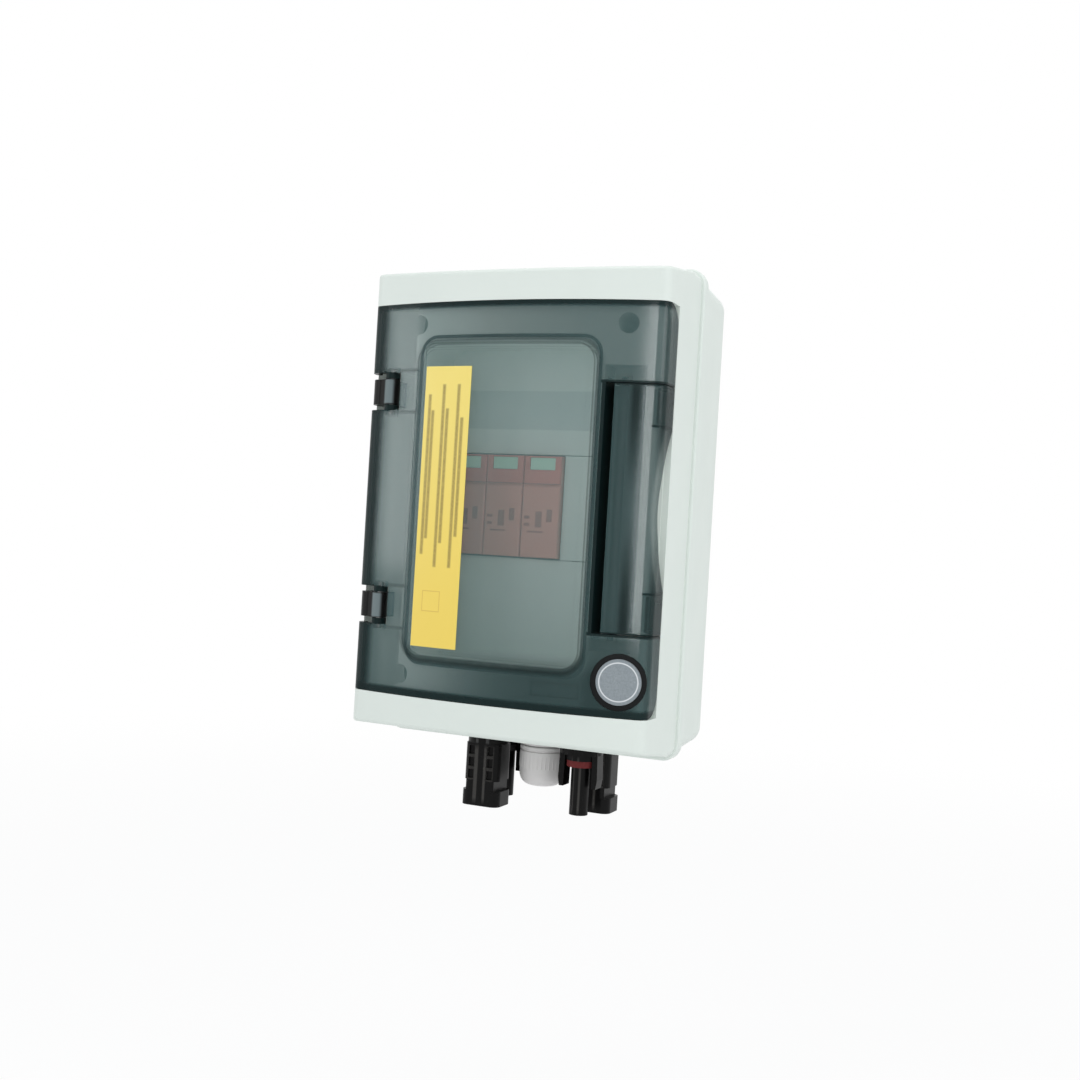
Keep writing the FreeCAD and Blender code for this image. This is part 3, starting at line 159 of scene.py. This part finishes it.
class Maker:
    """A node tree in the making, for a material, the surroundings or a mesh."""

    def __init__(self, tree):
        self.nodes, self.links = tree.nodes, tree.links
        self.nodes.clear()

    def node(self, kind, settings=None, values=(), output=0):
        """Add a node: its settings first, then the values or links of its sockets."""
        made = self.nodes.new(kind)
        for name, value in (settings or {}).items():
            setattr(made, name, value)
        for key, value in values.items() if isinstance(values, dict) else enumerate(values):
            if isinstance(value, Reading):
                self.links.new(value.socket, made.inputs[key])
            else:
                made.inputs[key].default_value = value
        return Reading(self, made.outputs[output]) if made.outputs else None

    def looked_at(self):
        """1 for what is seen directly, in a gloss or through a clear surface, 0 for soft light."""
        camera, gloss, clear = (self.node("ShaderNodeLightPath", output=f"Is {ray} Ray")
                                for ray in ("Camera", "Glossy", "Transmission"))
        return (camera + gloss + clear).smaller(1.0)


class Finish(Maker):
    """A material in the making, named for what it covers."""

    def __init__(self, name):
        self.material = bpy.data.materials.new(name)
        self.material.use_nodes = True
        super().__init__(self.material.node_tree)
        self.place = self.node("ShaderNodeTexCoord", output="Object")
        self.x, self.y, self.z = (
            self.node("ShaderNodeSeparateXYZ", {}, [self.place], output=axis) for axis in "XYZ")

    def noise(self, scale, detail, roughness, stretch=(1, 1, 1)):
        """Soft random values from 0 to 1, with features about 1/scale metres wide."""
        spot = self.node("ShaderNodeMapping", {}, {"Vector": self.place, "Scale": stretch})
        return self.node("ShaderNodeTexNoise", {}, {
            "Vector": spot, "Scale": scale, "Detail": detail, "Roughness": roughness})

    def blend(self, share, first, second):
        """Two colours mixed by a share: sockets 6 and 7 of the node, and its output 2."""
        return self.node("ShaderNodeMix", {"data_type": "RGBA", "clamp_factor": True},
                         {0: share, 6: first, 7: second}, output=2)

    def painted(self, base, marks):
        """A colour with marks laid over it: pairs of a mask and the mark's own colour."""
        for mask, colour in marks:
            base = self.blend(mask, base, colour)
        return base

    def spread(self, value, low, high):
        """A value from 0 to 1 spread from low to high."""
        return self.node("ShaderNodeMapRange", {}, {"Value": value, "To Min": low, "To Max": high})

    def block(self, **sides):
        """1 in a block: for x, y or z its two sides, and how soft they are."""
        return math.prod(getattr(self, axis).between(*pair) for axis, pair in sides.items())

    def from_window(self):
        """Distance from the outline of the door's window panel, below zero inside it."""
        across = abs(self.x) - (WINDOW_WIDTH / 2 - WINDOW_RADIUS) * MM
        up = abs(self.z) - (WINDOW_HEIGHT / 2 - WINDOW_RADIUS) * MM
        corner = (across.larger(0) ** 2 + up.larger(0) ** 2) ** 0.5
        return corner + across.larger(up).smaller(0) - WINDOW_RADIUS * MM

    def from_hinge(self):
        """Distance up or down from the middle of the nearer hinge."""
        return abs(abs(self.z) - HINGE_HEIGHT * MM)

    def bump(self, height, strength, distance):
        """A surface roughened by a height field."""
        return self.node("ShaderNodeBump", {}, {
            "Strength": strength, "Distance": distance, "Height": height})

    def surface(self, **sockets):
        """A main shader, whose sockets are given by name."""
        return self.node("ShaderNodeBsdfPrincipled", {}, {
            name.replace("_", " "): value for name, value in sockets.items()})

    def close(self, shader):
        """End the material with a shader."""
        self.node("ShaderNodeOutputMaterial", {}, [shader])
        return self.material

    def mixed(self, share, first, second):
        """End the material with two shaders mixed by a share."""
        return self.close(self.node("ShaderNodeMixShader", {}, [share, first, second]))


def no_marks(finish):
    """Nothing, for a plain finish."""
    return []


def moulded(name, colours, grain=2600, depth=0.04, rough=(0.42, 0.56), marks=no_marks, **sockets):
    """Moulded plastic: fine spark-eroded grain, faint cloudy colour and a little change in gloss.

    Grain is the number of specks in a metre, and depth their height in millimetres. Marks is a
    function that gives pairs of a mask and the colour that it takes there.
    """
    finish = Finish(name)
    cloud = finish.noise(26, 3, 0.6)
    speck = finish.noise(grain, 2, 0.7)
    base = finish.blend(finish.spread(speck, 0, 0.12), finish.blend(cloud, *colours), colours[1])
    return finish.close(finish.surface(
        Base_Color=finish.painted(base, marks(finish)),
        Roughness=finish.spread(finish.noise(90, 4, 0.6), *rough),
        Normal=finish.bump(speck, 0.35, depth * MM), **sockets))


def black_moulded(name, marks=no_marks):
    """The black plastic of the connectors."""
    return moulded(name, BLACK, 1800, 0.06, (0.26, 0.4), marks, Specular_IOR_Level=0.12)


def cover_marks(finish):
    """Painted shade: near black in the latch pocket, darker on the bed right of it, and a darker
    band where the tray floor steps.
    """
    pocket = (finish.x.above(42.6) * finish.x.below(61.6, 1.9)
              * finish.block(y=(-90.2, -79, 0.3), z=(-51.6, 51.6)))
    bed = finish.block(x=(62.5, 69.3, 0.3), y=(-92, -79, 0.3), z=(-51, 51))
    strip = finish.block(x=(-45, 45), y=(TRAY_FLOOR - 1, TRAY_FLOOR + 1, 0.2), z=(33.9, 51))
    # Painted shade on the bed, in the pocket and in the band on the tray floor.
    return [(bed * 0.8, tone(172, 180, 174)), (pocket, tone(7, 9, 10)),
            (strip * 0.4, tone(166, 180, 180))]


def smoked(name, dark_and_shaded_parts, shade_and_thickness):
    """Smoked clear plastic: faintly wavy, with hairline wear, dark where light runs along it, and
    with painted shade that darkens it towards its foot and in other places.

    Dark and shaded parts is a function that gives pairs of a mask and how dark the plastic is
    there, up to 1: its edges, and painted shade and shadow.
    Shade and thickness is one that gives how much less clear it is from place to place, from 0 up,
    and it paints shade as well.
    """
    finish = Finish(name)
    cloud = finish.noise(14, 2, 0.5)
    wear = finish.noise(420, 5, 0.7, stretch=(0.4, 1, 1))
    wave = finish.bump(finish.noise(60, 2, 0.4), 0.04, 0.4 * MM)
    # Painted shade: darker and less clear towards the foot.
    low = finish.z.fade(40, -95)
    # How much less clear from place to place; on the door this is painted shade.
    shade_and_thick = shade_and_thickness(finish)
    graze = finish.node("ShaderNodeLayerWeight", {}, {"Blend": 0.3}, output="Facing")

    tint = finish.blend(low * 0.6, finish.blend(cloud, *SMOKE_THIN), SMOKE_SHADED_THICK)
    cover = finish.spread(cloud, 0.2, 0.24) + low * 0.07 + graze ** 3 * 0.4 + shade_and_thick * 0.13
    clear = finish.surface(
        Base_Color=finish.blend(shade_and_thick, tint, SMOKE_SHADED_THICK), Alpha=cover, IOR=1.58,
        Roughness=finish.spread(wear, 0.07, 0.13), Normal=wave)
    # The dark shader, for edges where light runs along the plastic and for painted shade and
    # shadow.
    along = finish.surface(
        Base_Color=finish.blend(wear, *SMOKE_EDGE_AND_SHADE), Specular_IOR_Level=0.1,
        Roughness=finish.spread(wear, 0.3, 0.4), Normal=wave)

    clear_share = math.prod(1 - mask * dark for mask, dark in dark_and_shaded_parts(finish))
    darkest = 0.96
    return finish.mixed((1 - clear_share).smaller(darkest), clear, along)


def door_edges_and_painted_shade(finish):
    """The door's dark rims and side edges, and painted shade: at its foot and lower right corner
    and on the window's bevel and step, with painted shadow round the hinges and the slot painted
    near black.
    """
    x, z, up = finish.x, finish.z, abs(finish.z)
    window, hinge = finish.from_window(), finish.from_hinge()
    rims = z.above(82.9, 0.5) + (-1 * z).above(81.8, 0.6)
    left, right = x.fade(-58.6, -62.4), x.fade(66.4, 68.4)
    # Painted shade on the window's bevel, heavier at its foot, and on its step.
    bevel = window.between(-1, 1.6, 0.6) * (0.6 + z.fade(-55, -66) * 0.9)
    step = window.between(-1.5, -0.9)
    # Painted shade at the door's foot and at its lower right corner.
    foot = z.fade(-60, -72) * x.fade(-30, 25) * x.fade(66, 60)
    corner = z.fade(-52, -54) * x.fade(40, 46) * x.fade(68, 60)
    # Painted shadow at the ends of the hinge notches and on the door's ears there.
    hinge_shadows = hinge.between(8.5, 9.9, 0.4) * x.below(-42, 0.4)
    hinge_ear_shade = hinge.between(5.6, 8.4) * x.below(-54, 0.2)
    # Painted shade: the slot and its ends painted near black.
    slot_end_shade = up.between(50.8, 52.2, 0.2) * x.above(43, 0.2)
    slot_wall_shade = up.below(51.5) * x.between(43.6, 45.2, 0.1)
    return [(rims, 0.85), (left, 0.85), (right, 0.4), (bevel, 0.36), (step, 0.34), (foot, 0.37),
            (corner, 0.26), (hinge_shadows, 0.2), (hinge_ear_shade, 0.95), (slot_end_shade, 0.9),
            (slot_wall_shade, 0.96)]


def door_painted_shade(finish):
    """The door outside its window, less clear, with painted shade that grows towards its right side
    and its foot.
    """
    outside = finish.from_window().above(0, 0.4)
    foot = finish.z.fade(-62, -76) * finish.x.fade(-45, 10)
    return outside * (0.35 + finish.x.fade(-75, 65) * 1.4 + foot * 0.5)


def handle_painted_shade(finish):
    """Painted shade on the handle: its left part, the band over the latch, its right edge with
    painted shadow beside it, its ends, and painted shadow lines at its hooks.
    """
    x, up = finish.x, abs(finish.z)
    left = x.below(59, 2.5)
    band_shade = x.between(55.6, 59.6, 1.2) * up.fade(0, 46)
    right = x.fade(66, 68.2) * (0.2 + up.fade(8, 40) * 0.5)
    # Painted shade at the handle's ends, and painted shadow lines at its hooks.
    ends = up.above(50.4)
    hook_shadows = x.between(66, 66.9, 0.25) * up.between(34.8, 49.5, 0.3)
    hook_end_shadows = x.above(64.5, 0.3) * up.between(33.6, 34.5)
    return [(left, 0.12), (band_shade, 0.85), (right, 1.0), (ends, 0.95), (hook_shadows, 0.6), (hook_end_shadows, 0.8)]


def handle_thickness(finish):
    """The handle, a little less clear towards its grip."""
    return 0.8 + finish.x.fade(58, 68) * 0.3


def brushed(name, colours, stretch):
    """Metal with fine drawn lines, which lie closer together along an axis of larger stretch."""
    finish = Finish(name)
    lines = finish.noise(900, 4, 0.7, stretch=stretch)
    return finish.close(finish.surface(
        Base_Color=finish.blend(lines, *colours), Metallic=1.0,
        Roughness=finish.spread(lines, 0.25, 0.42), Normal=finish.bump(lines, 0.2, 0.02 * MM)))


def satin_disc(name):
    """Sandblasted silver foil with a fine turned ring near its edge."""
    finish = Finish(name)
    low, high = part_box("badge_disc")
    radius = (high[0] - low[0]) / 2 / MM
    across = finish.x - (low[0] + high[0]) / 2
    up = finish.z - (low[2] + high[2]) / 2
    ring = ((across ** 2 + up ** 2) ** 0.5).between(radius - 1.7, radius - 1.2, 0.1)
    sparkle = finish.noise(1500, 3, 0.8)
    patches = finish.noise(130, 3, 0.6)
    base = finish.blend(sparkle, tone(84, 94, 99), tone(170, 178, 182))
    marks = [(patches * 0.6, tone(120, 129, 136)), (ring * 0.7, tone(226, 230, 233))]
    return finish.close(finish.surface(
        Base_Color=finish.painted(base, marks), Metallic=0.6,
        Roughness=finish.spread(sparkle, 0.34, 0.55),
        Normal=finish.bump(sparkle + ring, 0.35, 0.04 * MM)))


def soft_rubber(name, colours, marks=no_marks):
    """Dull rubber with a dusty bloom."""
    finish = Finish(name)
    dust = finish.noise(300, 5, 0.7)
    return finish.close(finish.surface(
        Base_Color=finish.painted(finish.blend(dust, *colours), marks(finish)),
        Roughness=finish.spread(dust, 0.6, 0.85), Normal=finish.bump(dust, 0.3, 0.08 * MM)))


def ring_marks(finish):
    """The left connector's ring is black."""
    return [(finish.x.below(0), tone(30, 28, 28))]


def label_film(name):
    """Yellow film, a little deeper towards its foot, with plain brown bars and a thin square."""
    finish = Finish(name)
    cloud = finish.noise(120, 3, 0.6)
    ink = finish.spread(finish.noise(1100, 3, 0.6), 0.4, 0.8)
    bars = sum(finish.block(x=(middle - LABEL_BAR_HALF, middle + LABEL_BAR_HALF, 0.3),
                            z=(foot, head, 0.3)) for middle, foot, head in LABEL_BARS)
    across = abs(finish.x - LABEL_SQUARE_X * MM)
    square = across.larger(abs(finish.z - LABEL_SQUARE_Z * MM)).between(4.1, 4.45, 0.12)
    base = finish.blend(finish.z.fade(60, -60), tone(244, 223, 124), tone(241, 212, 97))
    marks = [(cloud * 0.3, tone(236, 208, 97)), (bars * ink, tone(96, 78, 40)),
             (square * 0.5, tone(196, 150, 60))]
    return finish.close(finish.surface(
        Base_Color=finish.painted(base, marks), Roughness=finish.spread(cloud, 0.32, 0.44),
        Normal=finish.bump(finish.noise(1500, 2, 0.5), 0.1, 0.02 * MM)))


def plug_marks(finish):
    """Each plug's redder head with a dark line under it, and plain dark fields on its front."""
    front = finish.y.below(PLUG_FRONT, 0.1)
    across = (finish.x - PLUG_LEFT * MM) % (PLUG_PITCH * MM)
    head = finish.z.above(10.2, 0.2) * front
    line = finish.z.between(9.5, 10.2, 0.12) * front
    fields = [across.between(left, right, 0.12) * finish.z.between(foot, top, 0.12) * front
              for left, right, foot, top in PLUG_FIELDS]
    return [(head * 0.45, tone(200, 84, 78)), (line * 0.6, tone(70, 30, 28)),
            *((field * 0.5, tone(92, 40, 34)) for field in fields)]


def rib_highlights(name, ribs, face):
    """Painted highlights on a connector's upright ribs, in front and behind, from the face's
    distance on.
    """
    low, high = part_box(name)
    middle_x, middle_y = ((low[axis] + high[axis]) / 2 for axis in (0, 1))

    def marks(finish):
        offset = finish.x - middle_x
        shown = finish.z.between(-137, -112, 1.5) * abs(finish.y - middle_y).above(face, 0.1)
        return [(abs(offset - place * MM).below(half, 0.25) * shown * 0.75, tone(74, 72, 70))
                for place, half in ribs]
    return marks


def wide_highlights_and_shade(name):
    """A wide connector's painted rib highlights, two columns of hollows painted near black as shade
    with painted highlights on their edges, and painted highlights on its shoulders.
    """
    low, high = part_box(name)
    middle_x, middle_y = ((low[axis] + high[axis]) / 2 for axis in (0, 1))
    ribs = rib_highlights(name, WIDE_RIB_HIGHLIGHTS, WIDE_FACE)

    def marks(finish):
        offset = finish.x - middle_x
        across = abs(offset)
        front = abs(finish.y - middle_y).above(WIDE_FACE, 0.1)
        row = (HOLLOW_TOP * MM - finish.z) % (HOLLOW_PITCH * MM)
        column_highlight = across.between(3.1, 6.5, 0.12) * finish.z.between(-127.5, -111.4, 0.1) * front
        hollow_shade = column_highlight * row.below(HOLLOW_HEIGHT, 0.1) * across.between(3.4, 6.2, 0.1)
        nearer = abs(offset + 1.6 * MM).smaller(abs(offset - 3.4 * MM))
        shoulder_highlight = nearer.below(0.7, 0.2) * finish.z.between(-110, -106, 0.4) * front
        return [*ribs(finish), (column_highlight * 0.5, tone(66, 64, 62)), (hollow_shade, tone(2, 2, 2)),
                (shoulder_highlight * 0.6, tone(84, 84, 84))]
    return marks


def knuckle_highlight(finish):
    """A paler painted highlight on the face of the hinge knuckle between its black cheeks."""
    knuckle_glint = finish.x.between(-60.2, -55.6, 0.5) * finish.from_hinge().below(5.2, 0.3)
    return [(knuckle_glint, tone(112, 124, 126))]


FINISHES = {
    "housing_plastic": moulded("pale_grey_moulding", PALE),
    "smoked_plastic": smoked("smoked_door_plastic", door_edges_and_painted_shade, door_painted_shade),
    "connector_plastic": black_moulded("black_connector_moulding"),
    "seal_rubber": soft_rubber("black_seal_rubber", (tone(34, 34, 34), tone(52, 52, 50))),
    "pin_steel": brushed("bright_pin_steel", (tone(190, 190, 188), tone(160, 160, 158)),
                         (1, 1, 30)),
    "screw_steel": brushed("zinc_plated_screws", (tone(196, 194, 184), tone(168, 166, 156)),
                           (1, 1, 1)),
    "rail_steel": brushed("zinc_plated_rail", (tone(198, 200, 198), tone(170, 172, 168)),
                          (0.03, 1, 1)),
    "label_yellow": label_film("yellow_label_film"),
    "badge_silver": satin_disc("satin_badge_silver"),
    "badge_black": moulded("black_badge_ring", (tone(14, 18, 19), tone(9, 11, 12)),
                           2000, 0.02, (0.2, 0.3), Specular_IOR_Level=0.12),
    "device_plastic": moulded("pale_device_moulding", (tone(205, 205, 200), tone(194, 194, 189)),
                              2200, 0.03, (0.4, 0.5)),
    "latch_plastic": moulded("black_latch_moulding", (tone(32, 32, 32), tone(24, 24, 24))),
    "plug_plastic": moulded("red_plug_moulding", (tone(228, 162, 146), tone(218, 150, 134)),
                            2200, 0.03, (0.35, 0.46), plug_marks),
    "status_green": moulded("green_status_window", (tone(206, 236, 216), tone(194, 228, 204)),
                            1500, 0.01, (0.08, 0.14)),
    "blank_plastic": moulded("grey_blanking_moulding", PALE, 2400, 0.04, (0.4, 0.55)),
    "contact_tin": brushed("tinned_contacts", (tone(208, 204, 194), tone(180, 176, 166)),
                           (1, 1, 8)),
    "ring_red": soft_rubber("red_ring_rubber", (tone(112, 20, 22), tone(92, 16, 18)), ring_marks),
    "gland_plastic": moulded("pale_gland_moulding", (tone(216, 213, 212), tone(206, 203, 202)),
                             1800, 0.03, (0.34, 0.46)),
}
# Black hinge moulding with a painted highlight on its knuckle.
HINGE_FINISH = moulded("black_hinge_moulding", BLACK, 1800, 0.04, (0.3, 0.42), knuckle_highlight,
                       Specular_IOR_Level=0.15)
OWN_FINISHES = {
    "front_cover": moulded("pale_cover_moulding", PALE, marks=cover_marks),
    "door_handle": smoked("smoked_handle_plastic", handle_painted_shade, handle_thickness),
    "hinge_block_upper": HINGE_FINISH,
    "hinge_block_lower": HINGE_FINISH,
}
for side in ("left", "right"):
    wide, slim = f"wide_connector_{side}", f"slim_connector_{side}"
    # The connectors carry painted highlights on ribs, hollow edges and shoulders, and painted shade
    # in their hollows.
    OWN_FINISHES[wide] = black_moulded(f"{side}_wide_moulding", wide_highlights_and_shade(wide))
    OWN_FINISHES[slim] = black_moulded(f"{side}_slim_moulding",
                                       rib_highlights(slim, SLIM_RIB_HIGHLIGHTS, SLIM_FACE))


def finish_solids():
    """Give each solid its own finish, or else that of its material."""
    slots = {entry["node"]: entry["material_slot"] for entry in frame["record"]["subparts"]}
    for name, item in frame["nodes"].items():
        item.data.materials.clear()
        item.data.materials.append(OWN_FINISHES.get(name) or FINISHES[slots[name]])


def add_piece(name, mesh, body, slot, stands_for=()):
    """Put a finished mesh in the scene as a piece that rides on a body."""
    piece = bpy.data.objects.new(name, mesh)
    bpy.context.scene.collection.objects.link(piece)
    if not mesh.materials:
        mesh.materials.append(FINISHES[slot])
    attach(piece, body)
    if stands_for:
        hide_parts(*stands_for)


def lathe(profile, centre):
    """A closed ring turned about an upright axis, from a closed run of (radius, height)."""
    steps, sharp_edge = 72, math.radians(35)
    form = bmesh.new()
    rows = []
    for step in range(steps):
        angle = 2 * math.pi * step / steps
        rows.append([form.verts.new((centre[0] + radius * math.cos(angle),
                                     centre[1] + radius * math.sin(angle), height))
                     for radius, height in profile])
    for step, row in enumerate(rows):
        beside = rows[(step + 1) % steps]
        for index in range(len(profile)):
            after = (index + 1) % len(profile)
            form.faces.new((row[index], beside[index], beside[after], row[after]))
    bmesh.ops.recalc_face_normals(form, faces=form.faces)
    for face in form.faces:
        face.smooth = True
    for edge in form.edges:
        edge.smooth = edge.calc_face_angle(0) < sharp_edge
    mesh = bpy.data.meshes.new("turned_piece")
    form.to_mesh(mesh)
    form.free()
    return mesh


def make_gland_cap():
    """The gland's smooth domed cap, in the place of the plainer one of the solids."""
    low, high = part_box("gland_nut")
    centre = ((low[0] + high[0]) / 2, (low[1] + high[1]) / 2)
    radius, foot, top = (high[0] - low[0]) / 2, low[2], high[2]
    bore, mouth = 8.46 * MM, 4.6 * MM
    dome_width, dome_height = 5.4 * MM, 6.2 * MM
    dome_angles = [math.radians(8 * step) for step in range(11)]

    collar = [(bore, top), (radius - 0.5 * MM, top), (radius - 0.1 * MM, top - 0.4 * MM),
              (radius - 0.1 * MM, top - 1.7 * MM)]
    groove = [(radius - 0.7 * MM, top - 1.9 * MM), (radius - 0.7 * MM, top - 2.4 * MM),
              (radius - 0.15 * MM, top - 2.6 * MM)]
    dome = [(radius - 0.35 * MM - dome_width * (1 - math.cos(angle)),
             foot + dome_height * (1 - math.sin(angle))) for angle in dome_angles]
    inside = [(mouth + 0.6 * MM, foot), (mouth, foot + 0.4 * MM), (mouth, foot + 2 * MM),
              (bore, foot + 7 * MM)]
    cap = lathe(collar + groove + dome + inside, centre)
    add_piece("gland_cap", cap, "housing", "gland_plastic", ["gland_nut"])


class Growth(Maker):
    """A mesh grown by geometry nodes, with named inputs for its sizes."""

    def __init__(self, name, sizes):
        self.group = bpy.data.node_groups.new(name, "GeometryNodeTree")
        super().__init__(self.group)
        self.kept = {}
        for label, (kind, value) in sizes.items():
            socket = self.group.interface.new_socket(label, in_out="INPUT", socket_type=kind)
            socket.default_value = value
            self.kept[label] = socket.identifier
        self.group.interface.new_socket("Geometry", in_out="OUTPUT",
                                        socket_type="NodeSocketGeometry")

    def size(self, label):
        """One of the named sizes."""
        return self.node("NodeGroupInput", output=label)

    def close(self, geometry, material):
        """End the group with plain mesh in one finish."""
        whole = self.node("GeometryNodeRealizeInstances", {}, [geometry])
        coated = self.node("GeometryNodeSetMaterial", {}, {
            "Geometry": whole, "Material": material})
        self.node("NodeGroupOutput", {}, [coated])

    def grown(self, name, sizes):
        """The mesh that the group gives for these sizes."""
        holder = bpy.data.objects.new(name, bpy.data.meshes.new(name))
        bpy.context.scene.collection.objects.link(holder)
        modifier = holder.modifiers.new("growth", "NODES")
        modifier.node_group = self.group
        for label, value in sizes.items():
            modifier[self.kept[label]] = value
        graph = bpy.context.evaluated_depsgraph_get()
        mesh = bpy.data.meshes.new_from_object(holder.evaluated_get(graph), depsgraph=graph)
        holder.modifiers.remove(modifier)
        bpy.data.objects.remove(holder)
        for face in mesh.polygons:
            face.use_smooth = True
        return mesh


def rib_growth(name, material):
    """A ring of upright round ribs about an axis."""
    growth = Growth(name, {
        "Count": ("NodeSocketInt", 20),
        "Ring Radius": ("NodeSocketFloat", 0.01),
        "Rib Radius": ("NodeSocketFloat", 0.0005),
        "Foot": ("NodeSocketVector", (0, 0, 0)),
        "Head": ("NodeSocketVector", (0, 0, 0.005)),
        "Centre": ("NodeSocketVector", (0, 0, 0)),
    })
    run = growth.node("GeometryNodeCurvePrimitiveLine", {}, {
        "Start": growth.size("Foot"), "End": growth.size("Head")})
    section = growth.node("GeometryNodeCurvePrimitiveCircle", {}, {
        "Resolution": 10, "Radius": growth.size("Rib Radius")})
    rib = growth.node("GeometryNodeCurveToMesh", {}, {
        "Curve": run, "Profile Curve": section, "Fill Caps": True})
    ring = growth.node("GeometryNodeCurvePrimitiveCircle", {}, {
        "Resolution": growth.size("Count"), "Radius": growth.size("Ring Radius")})
    row = growth.node("GeometryNodeInstanceOnPoints", {}, {"Points": ring, "Instance": rib})
    placed = growth.node("GeometryNodeTransform", {}, {
        "Geometry": row, "Translation": growth.size("Centre")})
    growth.close(placed, material)
    return growth


def make_grip_ribs():
    """Fine grip ribs round the gland's cap."""
    low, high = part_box("gland_nut")
    mesh = rib_growth("gland_ribs", FINISHES["gland_plastic"]).grown("gland_cap_ribs", {
        "Count": 36,
        "Ring Radius": (high[0] - low[0]) / 2 - 0.66 * MM,
        "Rib Radius": 0.55 * MM,
        "Foot": (0, 0, low[2] + 8.5 * MM),
        "Head": (0, 0, high[2] - 4 * MM),
        "Centre": ((low[0] + high[0]) / 2, (low[1] + high[1]) / 2, 0),
    })
    add_piece("gland_cap_ribs", mesh, "housing", "gland_plastic")


def make_floor():
    """A plain pale floor below the housing, which turns quite white further out."""
    half_width, height = 30, -0.30
    mesh = bpy.data.meshes.new("floor")
    form = bmesh.new()
    bmesh.ops.create_grid(form, x_segments=1, y_segments=1, size=half_width)
    form.to_mesh(mesh)
    form.free()
    mesh.transform(Matrix.Translation((0, 0, height)))
    floor = bpy.data.objects.new("floor", mesh)
    bpy.context.scene.collection.objects.link(floor)

    finish = Finish("pale_floor")
    pale = finish.blend(finish.noise(3, 2, 0.5), tone(250, 250, 250), tone(247, 247, 247))
    matt = finish.node("ShaderNodeBsdfDiffuse", {}, {"Color": pale})
    glow = finish.node("ShaderNodeEmission", {}, {"Color": WHITE, "Strength": 1.0})
    reach = (finish.x ** 2 + finish.y ** 2) ** 0.5
    share = finish.looked_at() * (0.88 + reach.fade(300, 1500) * 0.12)
    floor.data.materials.append(finish.mixed(share, matt, glow))


def make_surroundings():
    """Soft light from all round, which looks plain white."""
    world = bpy.data.worlds.new("studio")
    bpy.context.scene.world = world
    world.use_nodes = True
    air = Maker(world.node_tree)
    fill = air.node("ShaderNodeBackground", {}, {"Color": (0.94, 0.97, 1.0, 1), "Strength": 0.56})
    white = air.node("ShaderNodeBackground", {}, {"Color": WHITE, "Strength": 1.0})
    both = air.node("ShaderNodeMixShader", {}, [air.looked_at(), fill, white])
    air.node("ShaderNodeOutputWorld", {}, [both])


# Each lamp's place, and its width and height, in metres, and its power in watts.
LAMPS = {
    "key_lamp": ((-0.35, -0.8, 0.75), (0.6, 0.6), 2.0),
    "side_lamp": ((1.4, -0.4, 0.6), (0.9, 0.9), 7.1),
    "top_lamp": ((0.1, -0.2, 1.5), (0.8, 0.8), 5.7),
    "left_softbox": ((-1.0, -0.83, 0.15), (0.22, 0.42), 1.18),
    "front_strip": ((0.265, -1.5, 0.15), (0.1, 0.6), 1.35),
}


def make_lamps():
    """Soft lamps that all point at the middle of the housing."""
    middle = Vector((0, -0.05, 0))
    for name, (place, size, power) in LAMPS.items():
        data = bpy.data.lights.new(name, "AREA")
        data.shape = "RECTANGLE"
        data.size, data.size_y = size
        data.energy = power
        lamp = bpy.data.objects.new(name, data)
        lamp.location = place
        lamp.rotation_euler = (middle - Vector(place)).to_track_quat("-Z", "Y").to_euler()
        bpy.context.scene.collection.objects.link(lamp)


def make_camera():
    """The camera that took the picture, fitted to the housing's outline."""
    data = bpy.data.cameras.new("camera")
    data.sensor_fit = "HORIZONTAL"
    data.sensor_width = 36
    data.lens = 43.69
    data.clip_start, data.clip_end = 0.01, 100
    right = Vector((0.9170, 0.3946, 0.0593)).normalized()
    back = right.cross(Vector((-0.0524, -0.0283, 0.9982))).normalized()
    stand = Matrix((right, back.cross(right), back)).transposed().to_4x4()
    stand.translation = Vector((0.23478, -0.59478, -0.01742))
    camera = bpy.data.objects.new("camera", data)
    camera.matrix_world = stand
    bpy.context.scene.collection.objects.link(camera)
    bpy.context.scene.camera = camera


finish_solids()
make_gland_cap()
make_grip_ribs()
make_floor()
make_surroundings()
make_lamps()
make_camera()

scene = bpy.context.scene
scene.view_settings.view_transform = "Standard"
